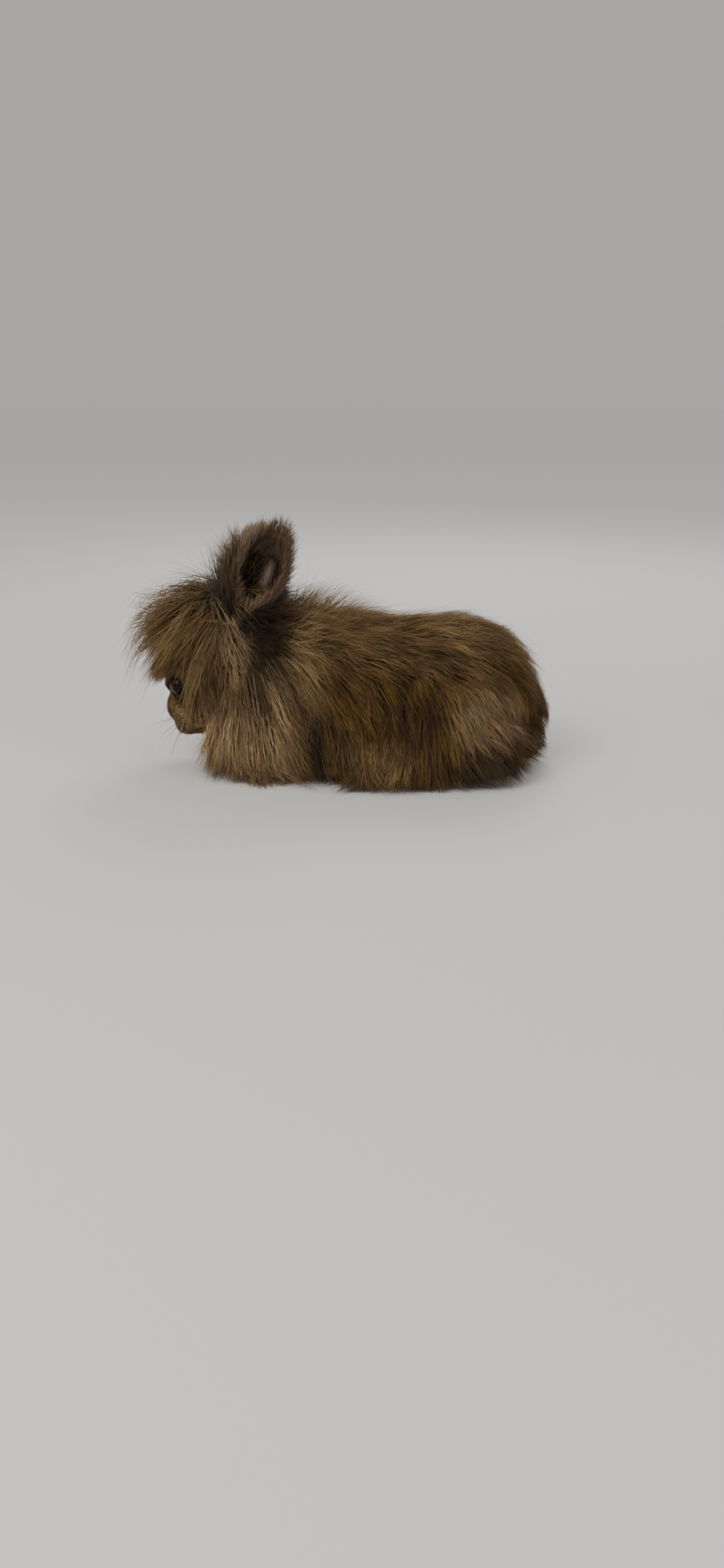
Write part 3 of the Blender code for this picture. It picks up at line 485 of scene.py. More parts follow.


# Tone of the coat where a hair is seen, for the part that it grows on, with painted shade and
# painted reflected light laid in
def paintAt(points, label, faceShare):
    p = points - shift
    sides = p * np.array([1.0, 1.0, 1.0])
    sides[:, 0] = np.abs(sides[:, 0])
    top = smoothStep(0.066, 0.096, p[:, 2])
    mane = 1.0 - smoothStep(-0.020, 0.010, p[:, 1])
    onHead = (label == headPart).astype(float)
    # Painted shade low on the rear, close to the floor
    rumpLowShade = smoothStep(0.108, 0.130, p[:, 1]) * (1 - smoothStep(0.030, 0.060, p[:, 2]))
    # Darker round each eye: its dark fur, with painted shade
    socketDarkAndShade = np.zeros(len(points))
    for word in ("left", "right"):
        gap = np.linalg.norm(points - eyeCentres[word], axis=1)
        socketDarkAndShade += 1.0 - smoothStep(0.0085, 0.0145, gap)
    lock = onHead * (1 - faceShare) * smoothStep(-0.066, -0.084, p[:, 1])
    lock = lock * smoothStep(0.052, 0.072, p[:, 2])
    spots = {
        name: np.clip(sum(w * blob(sides, centre, radius) for centre, radius, w in rows), 0, 3.2)
        for name, rows in patches.items()
    }
    free = np.clip(1.0 - spots["pale"] * (1 - 0.6 * top) - spots["mane"], 0.0, 1.0)
    body2 = 1.0 - faceShare * onHead
    tone = {
        "back": body2 * top * free * (1 - 0.25 * mane) * (1 - lock),
        "flank": body2 * (1 - top) * free * (1 - 0.35 * mane),
        "pale": body2 * spots["pale"] * (1 - 0.6 * top),
        "mane": body2 * (spots["mane"] + 0.24 * mane * free),
        "lock": 1.4 * lock * free,
        "face": 0.75 * faceShare * onHead,
        "cheek": 0.55 * faceShare * onHead,
        # Dark tone: painted shade behind the ears and low at the rear, and the dark fur with
        # painted shade round the eyes
        "dark": (1 - onHead) * (3.0 * spots["dark"] + 0.6 * rumpLowShade) + onHead * (
            3.4 * spots["dark"] * body2 + 1.8 * socketDarkAndShade),
    }
    names = list(tone)
    weights = [tone[name] + 1e-5 for name in names]
    count = len(points)
    base = mixRows([np.tile(tones[name][0], (count, 1)) for name in names], weights)
    tip = mixRows([np.tile(tones[name][1], (count, 1)) for name in names], weights)
    shade = 1.0 + 0.16 * mottle(points, 0.030, 5) + 0.10 * mottle(points, 0.011, 6)
    warm = 1.0 + 0.03 * mottle(points, 0.024, 7)
    tint = np.stack([shade * warm, shade, shade / warm], 1)
    return base * tint, tip * tint


# Even spread of places on the skin, thicker where the weight is higher
def scatter(count, dice, weightAt=None):
    corners = skinPoints[skinFaces]
    normal = np.cross(corners[:, 1] - corners[:, 0], corners[:, 2] - corners[:, 0])
    area = np.linalg.norm(normal, axis=1)
    middle = corners.mean(axis=1)
    weight = area.copy()
    if weightAt is not None:
        weight = weight * weightAt(middle)
    total = np.cumsum(weight)
    places = (np.arange(count) + dice.random(count)) / count * total[-1]
    chosen = np.searchsorted(total, places)
    first = dice.random(count)
    second = dice.random(count)
    flip = first + second > 1
    first[flip] = 1 - first[flip]
    second[flip] = 1 - second[flip]
    picked = corners[chosen]
    points = picked[:, 0] + first[:, None] * (picked[:, 1] - picked[:, 0])
    points = points + second[:, None] * (picked[:, 2] - picked[:, 0])
    return points, unit(normal[chosen])


# The lie of the coat at one place, read from the nearest of a set of samples
def growGuides(dice):
    points, _ = scatter(26000, dice)
    kept = []
    cells = {}
    spacing = 0.0042
    for index, point in enumerate(points):
        key = tuple(int(math.floor(value / spacing)) for value in point)
        near = [
            other for dx in (-1, 0, 1) for dy in (-1, 0, 1) for dz in (-1, 0, 1)
            for other in cells.get((key[0] + dx, key[1] + dy, key[2] + dz), ())
        ]
        if all((points[other] - point) @ (points[other] - point) > spacing ** 2 for other in near):
            cells.setdefault(key, []).append(index)
            kept.append(index)
    points = points[kept]
    steps = 4
    places = []
    normals = []
    for point in points:
        place, normal, _, _ = skinTree.find_nearest(Vector(point))
        places.append(tuple(place))
        normals.append(tuple(normal))
    places = np.array(places)
    normals = np.array(normals)
    label = partOf(places)
    here = coatAt(places, normals, label)
    onHead = (label == headPart).astype(float)
    lengths = here["length"] * (1.0 + (0.22 + 0.12 * onHead) * dice.uniform(-1, 1, len(places)))
    lifts = here["lift"] * (1.0 + 0.25 * dice.uniform(-1, 1, len(places)))
    lifts = np.minimum(lifts, 0.36 * lengths)
    sway = dice.normal(0.0, 0.12, (len(places), 3))
    local = toHead(places)
    tousled = (label == headPart) * (1.0 - smoothStep(-0.056, -0.038, local[:, 0]))
    sway *= 1.0 + 2.6 * tousled[:, None]
    sway += 0.17 * np.stack([mottle(places, 0.026, seed) for seed in (21, 22, 23)], 1)
    paths = np.zeros((len(places), steps + 1, 3))
    for index in range(len(places)):
        place = Vector(places[index])
        normal = Vector(normals[index])
        lie = Vector(here["flow"][index] + sway[index])
        path = [place.copy()]
        tangent = lie - normal * lie.dot(normal)
        least = 0.75 if here["cling"][index] < 0.3 else 0.05
        direction = (tangent / max(tangent.length, least) + normal * 0.55).normalized()
        stride = lengths[index] / steps
        cling = here["cling"][index]
        point = place.copy()
        for k in range(1, steps + 1):
            point = point + direction * stride
            t = k / steps
            wanted = lifts[index] * min(1.0, 1.7 * t) * (1.0 - 0.12 * t)
            spot, normal, _, gap = skinTree.find_nearest(point)
            height = gap if (point - spot).dot(normal) >= 0.0 else -gap
            if height < wanted:
                point = spot + normal * wanted
            else:
                excess = 1.0 - wanted / max(height, 1e-6)
                point = spot + (point - spot) * (1.0 - cling * excess)
            point.z = max(point.z, 0.0012)
            path.append(point.copy())
            ahead = lie - normal * lie.dot(normal) * cling
            direction = (direction * 0.4 + ahead.normalized() * 0.6).normalized()
        paths[index] = [tuple(spot) for spot in path]
    return places, normals, label, paths


dice = np.random.default_rng(coat["seed"])
guidePlaces, guideNormals, guideLabel, guidePaths = growGuides(dice)
guideTone = np.clip(dice.normal(1.0, 0.27, len(guidePlaces)), 0.45, 1.75)
guideTrees = {}
for part in range(5):
    members = np.nonzero(guideLabel == part)[0]
    tree = KDTree(len(members))
    for index in members:
        tree.insert(guidePlaces[index], int(index))
    tree.balance()
    guideTrees[part] = tree
print("guides", len(guidePlaces))

# Closed blades along paths; each ring is a thin triangle and the last point the tip
def bladeMesh(paths, outs, widths, profile, thick=0.38):
    count, rings = len(paths), paths.shape[1] - 1
    ahead = np.zeros_like(paths)
    ahead[:, 1:-1] = paths[:, 2:] - paths[:, :-2]
    ahead[:, 0] = paths[:, 1] - paths[:, 0]
    ahead[:, -1] = paths[:, -1] - paths[:, -2]
    ahead = unit(ahead)
    out = outs[:, None, :] - ahead * np.sum(ahead * outs[:, None, :], axis=2, keepdims=True)
    out = unit(out)
    side = np.cross(ahead, out)
    half = 0.5 * widths[:, None] * np.array(profile)[None, :rings]
    middle = paths[:, :rings]
    corners = np.stack([
        middle - side[:, :rings] * half[:, :, None] - out[:, :rings] * half[:, :, None] * thick,
        middle + out[:, :rings] * half[:, :, None] * thick,
        middle + side[:, :rings] * half[:, :, None] - out[:, :rings] * half[:, :, None] * thick,
    ], axis=2)
    points = np.concatenate([corners.reshape(count, rings * 3, 3), paths[:, -1:, :]], axis=1)
    points[:, :, 2] = np.maximum(points[:, :, 2], 0.0003)
    faces = []
    for ring in range(rings - 1):
        for k in range(3):
            after = (k + 1) % 3
            a, b = ring * 3 + k, ring * 3 + after
            faces.append((a, b, b + 3))
            faces.append((a, b + 3, a + 3))
    last = (rings - 1) * 3
    for k in range(3):
        faces.append((last + k, last + (k + 1) % 3, rings * 3))
    faces.append((0, 2, 1))
    each = rings * 3 + 1
    triangles = np.array(faces)[None] + (np.arange(count) * each)[:, None, None]
    ringOf = np.concatenate([np.repeat(np.arange(rings), 3), [rings]]) / rings
    across = np.concatenate([np.tile([-1.0, 0.0, 1.0], rings), [0.0]])
    return points.reshape(-1, 3), triangles.reshape(-1, 3), ringOf, across, each


# Joins blades into one coat piece with colours, its map and a finish
def coatPiece(name, paths, outs, widths, base, tip, flat, material, profile, nodes, slot,
              rise=1.0):
    points, triangles, ringOf, across, each = bladeMesh(paths, outs, widths, profile)
    item = meshFrom(name, points, triangles)
    count = len(paths)
    along = (ringOf ** rise)[None, :, None]
    colour = base[:, None, :] * (1 - along) + tip[:, None, :] * along
    rgba = np.ones((count * each, 4), np.float32)
    rgba[:, :3] = np.clip(colour.reshape(-1, 3), 0.0, 1.0)
    layer = item.data.color_attributes.new("coatColour", "FLOAT_COLOR", "POINT")
    layer.data.foreach_set("color", rgba.ravel())
    patch = np.zeros((count, each, 2))
    patch[:, :, 0] = flat[:, None, 0] + 0.0012 * across[None, :]
    patch[:, :, 1] = flat[:, None, 1] + 0.0030 * (ringOf[None, :] - 0.5)
    patch = np.clip(patch.reshape(-1, 2), 0.0, 1.0)
    chart = item.data.uv_layers.new(name="OFBake")
    chart.data.foreach_set("uv", patch[triangles.ravel()].astype(np.float32).ravel())
    item.data.materials.append(material)
    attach(item, "root")
    if nodes:
        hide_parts(*nodes)
    print("coat piece", name, len(triangles), "faces")
    return item


finish = {
    "furRoughness": 0.62,
    "furSheen": 0.06,
    "specular": 0.18,
}


def furMaterial(name):
    paint = bpy.data.materials.new(name)
    paint.use_nodes = True
    nodes, links = paint.node_tree.nodes, paint.node_tree.links
    shader = nodes["Principled BSDF"]
    shader.inputs["Roughness"].default_value = finish["furRoughness"]
    shader.inputs["Specular IOR Level"].default_value = finish["specular"]
    shader.inputs["Sheen Weight"].default_value = finish["furSheen"]
    tint = nodes.new("ShaderNodeVertexColor")
    tint.layer_name = "coatColour"
    speckle = nodes.new("ShaderNodeTexNoise")
    speckle.inputs["Scale"].default_value = 420.0
    speckle.inputs["Detail"].default_value = 3.0
    place = nodes.new("ShaderNodeTexCoord")
    links.new(place.outputs["Object"], speckle.inputs["Vector"])
    ramp = nodes.new("ShaderNodeMapRange")
    ramp.inputs["To Min"].default_value = 0.72
    ramp.inputs["To Max"].default_value = 1.28
    links.new(speckle.outputs["Fac"], ramp.inputs["Value"])
    mix = nodes.new("ShaderNodeVectorMath")
    mix.operation = "SCALE"
    links.new(tint.outputs["Color"], mix.inputs[0])
    links.new(ramp.outputs["Result"], mix.inputs["Scale"])
    links.new(mix.outputs["Vector"], shader.inputs["Base Color"])
    return paint


def hideMaterial(name):
    paint = furMaterial(name)
    nodes, links = paint.node_tree.nodes, paint.node_tree.links
    place = nodes.new("ShaderNodeTexCoord")
    strand = nodes.new("ShaderNodeTexNoise")
    strand.inputs["Scale"].default_value = 1500.0
    strand.inputs["Detail"].default_value = 4.0
    strand.inputs["Distortion"].default_value = 1.2
    bump = nodes.new("ShaderNodeBump")
    bump.inputs["Strength"].default_value = 0.55
    bump.inputs["Distance"].default_value = 0.0006
    links.new(place.outputs["Object"], strand.inputs["Vector"])
    links.new(strand.outputs["Fac"], bump.inputs["Height"])
    links.new(bump.outputs["Normal"], nodes["Principled BSDF"].inputs["Normal"])
    return paint


fur = furMaterial("coatFur")
hide = hideMaterial("hide")

# Skin takes the coat's colours, darkened as the roots are
skinPlaces = skinPoints
skinNormals = np.zeros(len(skin.data.vertices) * 3, np.float32)
skin.data.vertices.foreach_get("normal", skinNormals)
skinNormals = skinNormals.reshape(-1, 3).astype(float)
skinLabel = partOf(skinPlaces)
skinLocal = toHead(skinPlaces)
skinBase, skinTip = paintAt(skinPlaces, skinLabel, smoothStep(-0.020, 0.010, skinLocal[:, 0]))
skinShade = 0.8 * skinBase + 0.2 * skinTip
layer = skin.data.color_attributes.new("coatColour", "FLOAT_COLOR", "POINT")
rgba = np.ones((len(skinPlaces), 4), np.float32)
rgba[:, :3] = skinShade
layer.data.foreach_set("color", rgba.ravel())
skin.data.materials.append(hide)
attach(skin, "root")
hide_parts("torso", "neck", "head", "foreleg_left", "foreleg_right",
            "hindleg_left", "hindleg_right", "tail")


def overEye(paths, short):
    paths = resample(paths, np.linspace(0.0, 1.0, 13))
    found = np.zeros(len(paths), bool)
    for word in ("left", "right"):
        toEye = paths - eyeCentres[word]
        gap = np.linalg.norm(toEye, axis=2)
        facing = np.sum(toEye * eyeLooks[word], axis=2) / np.maximum(gap, 1e-9)
        over = (gap < 0.027) & (facing > np.where(short > 0.5, 0.62, 0.54)[:, None])
        found |= over.any(axis=1)
    return found


# Loose ends bend back before they stand far outside the solids
def withinReach(paths):
    low = np.array(cadBox[0]) + 0.002
    high = np.array(cadBox[1]) - 0.002
    spare = np.array([0.0065, 0.0085, 0.0060])
    above = np.maximum(paths - high, 0.0)
    below = np.maximum(low - paths, 0.0)
    paths = np.minimum(paths, high) + spare * (1.0 - np.exp(-above / spare))
    flat = paths[:, :, 2].copy()
    paths = np.maximum(paths, low) - spare * (1.0 - np.exp(-below / spare))
    paths[:, :, 2] = flat
    return paths


# Children of the guides: each tuft follows its nearest guides and gathers at their tips
def growTufts(count, dice, weightAt, keep):
    points, normals = scatter(count, dice, weightAt)
    label = partOf(points)
    chosen = keep(points, label)
    points, normals, label = points[chosen], normals[chosen], label[chosen]
    count = len(points)
    nearest = np.zeros((count, 3), int)
    weights = np.zeros((count, 3))
    for index in range(count):
        found = guideTrees[label[index]].find_n(points[index], 3)
        for k, (_, guide, gap) in enumerate(found):
            nearest[index, k] = guide
            weights[index, k] = 1.0 / (gap + 0.0008) ** 2
    weights = weights / weights.sum(axis=1, keepdims=True)
    offsets = guidePaths - guidePaths[:, :1]
    steps = guidePaths.shape[1]
    blend = np.zeros((count, steps, 3))
    for k in range(3):
        blend = blend + offsets[nearest[:, k]] * weights[:, k, None, None]
    here = coatAt(points, normals, label)
    scale = (1.0 + 0.32 * dice.uniform(-1, 1, count))
    along = np.linspace(0.0, 1.0, steps)
    paths = points[:, None, :] + blend * scale[:, None, None]
    lead = guidePaths[nearest[:, 0]]
    short = 1.0 - smoothStep(0.010, 0.024, np.linalg.norm(blend[:, -1], axis=1))
    crownGap = np.linalg.norm(toHead(points) - np.array(pose["whorl"]), axis=1)
    whorl = 1.0 - smoothStep(0.007, 0.024, crownGap)
    hold = dice.uniform(0.20, 1.0, count) * (1.0 - 0.85 * short) * (1.0 - 0.7 * whorl)
    gather = (0.72 * along ** 1.3)[None, :, None] * hold[:, None, None]
    paths = paths * (1 - gather) + lead * gather
    size = np.linalg.norm(blend[:, -1], axis=1)
    loose = dice.normal(0.0, 1.0, (count, 3)) * (size * (0.045 + 0.17 * whorl))[:, None]
    stray = dice.random(count) < 0.07
    loose[stray] *= 2.2
    reach = np.linalg.norm(loose, axis=1)
    loose = loose * np.minimum(1.0, 0.30 * size / np.maximum(reach, 1e-9))[:, None]
    paths = paths + (normals * (stray * size * 0.14)[:, None])[:, None] * (
        along ** 1.5)[None, :, None]
    paths = paths + loose[:, None, :] * (along ** 1.4)[None, :, None]
    wave = dice.normal(0.0, 1.0, (count, 3)) * size[:, None] * 0.030
    phase = dice.uniform(0, 2 * math.pi, count)
    ripple = np.sin(along[None, :] * 6.5 + phase[:, None]) - np.sin(phase)[:, None]
    paths = paths + wave[:, None, :] * ripple[:, :, None] * along[None, :, None]
    curl = np.stack([mottle(points, 0.015, seed) for seed in (31, 32, 33)], 1)
    phase = 2.2 * mottle(points, 0.022, 34)
    ripple = np.sin(along[None, :] * 5.6 + phase[:, None]) - np.sin(phase)[:, None]
    paths = paths + (curl * (size * coat["curl"] * (1 - short))[:, None])[:, None, :] * (
        ripple * along[None, :])[:, :, None]
    paths[:, :, 2] = np.maximum(paths[:, :, 2], 0.0008)
    # Hair that would hang over an eye is cut short, or left out where it grows on the lids
    cut = overEye(paths, short)
    paths[cut] = paths[cut, :1] + (paths[cut] - paths[cut, :1]) * 0.34
    keepers = ~overEye(paths, short)
    paths = withinReach(paths)
    tone = guideTone[nearest[:, 0]] * (1.0 + 0.18 * dice.normal(0.0, 1.0, count))
    tone = np.clip(tone, 0.40, 1.9)[:, None]
    seen = paths[:, int(round(0.7 * (steps - 1)))]
    faceShare = smoothStep(-0.020, 0.010, toHead(points)[:, 0])
    base, tip = paintAt(seen, label, faceShare)
    return {
        "paths": paths[keepers], "outs": normals[keepers], "label": label[keepers],
        "points": points[keepers],
        "widths": (here["width"] * np.where(stray, 0.45, 1.0)
                   * dice.uniform(0.7, 1.35, count))[keepers],
        "base": (base * (0.6 + 0.4 * tone))[keepers],
        "tip": (tip * tone)[keepers], "size": size[keepers],
    }


# The same paths with their points at other shares of their length
def resample(paths, shares):
    steps = paths.shape[1] - 1
    place = np.array(shares) * steps
    low = np.minimum(place.astype(int), steps - 1)
    part = (place - low)[None, :, None]
    return paths[:, low] * (1 - part) + paths[:, low + 1] * part


def addCoat(name, tufts, chosen, nodes, slot, profile=(0.8, 1.0, 0.72)):
    flat = rollOut(tufts["points"][chosen], tufts["label"][chosen])
    shares = (0.0, 0.27, 0.60, 1.0) if len(profile) == 3 else (0.0, 0.5, 1.0)
    paths = resample(tufts["paths"][chosen], shares)
    coatPiece(name, paths, tufts["outs"][chosen], tufts["widths"][chosen],
              tufts["base"][chosen], tufts["tip"][chosen], flat, fur, profile, nodes, slot,
              rise=0.8)


scale = 1.0


def longHair(points, label):
    local = toHead(points)
    return (label != headPart) | (local[:, 0] < 0.004)


def everywhere(middle):
    label = partOf(middle)
    p = middle - shift
    weight = np.ones(len(middle))
    weight[label == headPart] = 1.5
    weight[p[:, 2] < 0.006] = 0.15
    return weight


longTufts = growTufts(int(70500 * scale), dice, everywhere, longHair)
place = longTufts["points"] - shift
onHead = longTufts["label"] == headPart
onTrunk = (longTufts["label"] == trunkPart) | (longTufts["label"] == tailPart)
onNeck = onTrunk & (place[:, 1] < -0.018)
onLeg = ~onHead & ~onTrunk
left = place[:, 0] >= 0.0
headLeft = toHead(longTufts["points"])[:, 1] >= 0.0
pieces = (
    ("backCoatLeft", onTrunk & ~onNeck & left & (place[:, 1] < 0.05), "coat"),
    ("backCoatRight", onTrunk & ~onNeck & ~left & (place[:, 1] < 0.05), "coat"),
    ("rumpCoatLeft", onTrunk & ~onNeck & left & (place[:, 1] >= 0.05), "coat"),
    ("rumpCoatRight", onTrunk & ~onNeck & ~left & (place[:, 1] >= 0.05), "coat"),
    ("maneLeft", onNeck & left, "mane"),
    ("maneRight", onNeck & ~left, "mane"),
    ("forelockLeft", onHead & headLeft, "mane"),
    ("forelockRight", onHead & ~headLeft, "mane"),
    ("haunchCoatLeft", onLeg & left, "coat"),
    ("haunchCoatRight", onLeg & ~left, "coat"),
)
for name, chosen, slot in pieces:
    addCoat(name, longTufts, chosen, (), slot)


def faceWeight(middle):
    label = partOf(middle)
    local = toHead(middle)
    return ((label == headPart) & (local[:, 0] > -0.012)).astype(float) + 1e-9


# Hair keeps clear of the nostrils, the cleft and the lips
def faceHair(points, label):
    hx, hy, hz = toHead(points).T
    bare = np.zeros(len(points), bool)
    for t in np.linspace(0.0, 1.0, 12):
        slit = np.hypot(np.abs(hy) - 0.0008 - 0.0038 * t, hz + 0.0128 - 0.0042 * t + 0.0012 * t * t)
        bare |= (slit < 0.0010) & (hx > 0.028)
    bare |= (np.abs(hy) < 0.0007) & (hz < -0.0125) & (hx > 0.024)
    bare |= (np.abs(hz + 0.0182) < 0.0007) & (hx > 0.016)
    return (label == headPart) & ~bare


shortTufts = growTufts(int(17000 * scale), dice, faceWeight, faceHair)
addCoat("faceFur", shortTufts, np.ones(len(shortTufts["points"]), bool), (), "face_fur",
        (0.8, 1.0))

# Fine loose hair that stands up along the neck and back
wisps = {
    "count": 2400,
    "length": 0.026,
    "width": 0.00038,
}


def makeWisps(dice):
    def along(middle):
        p = middle - shift
        weight = (partOf(middle) == trunkPart) * smoothStep(0.068, 0.085, p[:, 2])
        neck = blob(p, (0.0, -0.022, 0.10), (0.06, 0.034, 0.03))
        return weight * (0.22 + 2.2 * neck) + 1e-9

    count = int(wisps["count"] * scale)
    roots, normals = scatter(count, dice, along)
    p = roots - shift
    neck = blob(p, (0.0, -0.022, 0.10), (0.06, 0.034, 0.03))
    length = wisps["length"] * dice.uniform(0.6, 1.25, count) * (0.9 + 0.6 * neck)
    out = smoothStep(-0.045, 0.010, p[:, 1])
    back = np.stack([0.2 * np.sign(p[:, 0]), 0.9 + 0 * out, -0.25 + 0 * out], 1)
    start = unit(normals * (0.75 - 0.30 * out + 0.50 * neck)[:, None] + back * 0.55
                 + dice.normal(0, 0.22, (count, 3)))
    bend = unit(start * 0.5 + back * 0.75 + dice.normal(0, 0.25, (count, 3)))
    paths = np.stack([roots, roots + start * (length * 0.34)[:, None],
                      roots + (start * 0.58 + bend * 0.10) * length[:, None],
                      roots + (start * 0.62 + bend * 0.44) * length[:, None]], 1)
    label = np.full(count, trunkPart)
    base, tip = paintAt(paths[:, 2], label, np.zeros(count))
    tone = np.clip(dice.normal(1.0, 0.25, count), 0.5, 1.7)[:, None]
    paths = withinReach(paths)
    coatPiece("wisps", paths, normals, wisps["width"] * dice.uniform(0.7, 1.4, count),
              base * tone, tip * tone, rollOut(roots, label), fur, (0.9, 1.0, 0.7), (), "coat")


makeWisps(dice)

# Ears: thin cups, furred outside, with long hair along their rims
ears = {
    "length": 0.0635,
    "radius": 0.0138,
    "thickness": 0.0022,
    "inset": 0.0004,
    "left": (Vector((0.05, 0.50, 1.0)), Vector((0.0, 0.004, -0.002)), Vector((1.0, -0.12, 0.10))),
    "right": (Vector((-1.15, 0.00, 1.0)), Vector((-0.003, 0.0, 0.010)),
              Vector((-0.45, -1.0, -0.2))),
    "tufts": 2600,
    "fringe": 1900,
    "ruff": 2600,
    "inside": 800,
}


# Centre line, sides and size of an ear at each share of its length
def earFrame(word, t):
    way, bow, facing = ears[word]
    side = 1.0 if word == "left" else -1.0
    spot = pose["earRoot"]
    root = headWorld @ Vector((spot.x, spot.y * side, spot.z))
    tip = root + way.normalized() * ears["length"]
    middle = (root + tip) * 0.5 + bow
    root, tip, middle, facing = (np.array(v) for v in (root, tip, middle, facing))
    t = t[:, None]
    centre = root * (1 - t) ** 2 + middle * 2 * t * (1 - t) + tip * t ** 2
    ahead = unit((middle - root) * (1 - t) + (tip - middle) * t)
    face = unit(facing - ahead * (ahead @ facing)[:, None])
    across = np.cross(ahead, face)
    t = t[:, 0]
    unroll = smoothStep(0.10, 0.48, t)
    half = np.radians(160.0 - 56.0 * unroll - 22.0 * t)
    swell = 0.62 + 0.48 * smoothStep(0.0, 0.55, t)
    taper = np.sqrt(np.maximum(0.0, 1.0 - smoothStep(0.52, 1.06, t) ** 1.5))
    size = ears["radius"] * swell * np.maximum(0.16, taper)
    centre = centre + face * (size * 0.45 * unroll)[:, None]
    return centre, ahead, face, across, half, size


def makeEar(word):
    rows, columns = 46, 25
    t = np.linspace(0.0, 1.0, rows)
    centre, ahead, face, across, half, size = earFrame(word, t)
    wall = ears["thickness"] * (1.25 - 0.45 * t) - 2 * ears["inset"]
    share = np.linspace(-1.0, 1.0, columns)
    angle = half[:, None] * share[None, :]
    ray = across[:, None] * np.sin(angle)[..., None] - face[:, None] * np.cos(angle)[..., None]
    outer = centre[:, None] + ray * (size - ears["inset"])[:, None, None]
    thin = 1.0 - 0.55 * np.abs(share) ** 6
    inner = centre[:, None] + ray * (
        (size - ears["inset"])[:, None] - wall[:, None] * thin[None, :])[..., None]
    ring = np.concatenate([outer, inner[:, ::-1]], axis=1)
    total = 2 * columns
    points = ring.reshape(-1, 3)
    faces = []
    for row in range(rows - 1):
        for k in range(total):
            after = (k + 1) % total
            a, b = row * total + k, row * total + after
            faces.append((a, b, b + total))
            faces.append((a, b + total, a + total))
    for row in (0, rows - 1):
        start = row * total
        for k in range(columns - 1):
            a, b = start + k, start + k + 1
            c, d = start + total - 2 - k, start + total - 1 - k
            faces.append((a, b, c) if row else (a, c, b))
            faces.append((a, c, d) if row else (a, d, c))
    item = meshFrom("earSkin" + word.capitalize(), points, np.array(faces))
    shape = bmesh.new()
    shape.from_mesh(item.data)
    bmesh.ops.recalc_face_normals(shape, faces=shape.faces[:])
    shape.to_mesh(item.data)
    shape.free()
    colour = np.ones((len(points), 4), np.float32)
    inside = np.tile(np.concatenate([np.zeros(columns), np.ones(columns)]), rows)
    height = np.repeat(t, total)
    turn = np.tile(np.concatenate([share, share[::-1]]), rows)
    bare = np.array([0.290, 0.218, 0.168])
    # Painted shade: the lining of the cup is near black except for a strip of its bare skin colour
    deep = np.array([0.010, 0.005, 0.003])
    strip = np.exp(-((turn - 0.13) / 0.13) ** 2) * smoothStep(0.22, 0.55, height)
    strip = strip * (1.0 - smoothStep(0.64, 0.80, height))
    shadedLining = deep[None] * (1 - strip)[:, None] + bare[None] * strip[:, None]
    outside = np.array(tones["ear"][0]) * 1.1
    rim = np.maximum(smoothStep(0.74, 0.86, height), smoothStep(0.74, 0.92, np.abs(turn)))
    shadedLining = shadedLining * (1 - rim)[:, None] + outside[None] * 1.3 * rim[:, None]
    colour[:, :3] = shadedLining * inside[:, None] + outside[None] * (1 - inside)[:, None]
    layer = item.data.color_attributes.new("coatColour", "FLOAT_COLOR", "POINT")
    layer.data.foreach_set("color", colour.ravel())
    item.data.materials.append(fur)
    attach(item, "root")
    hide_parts("ear_" + word)
    return item


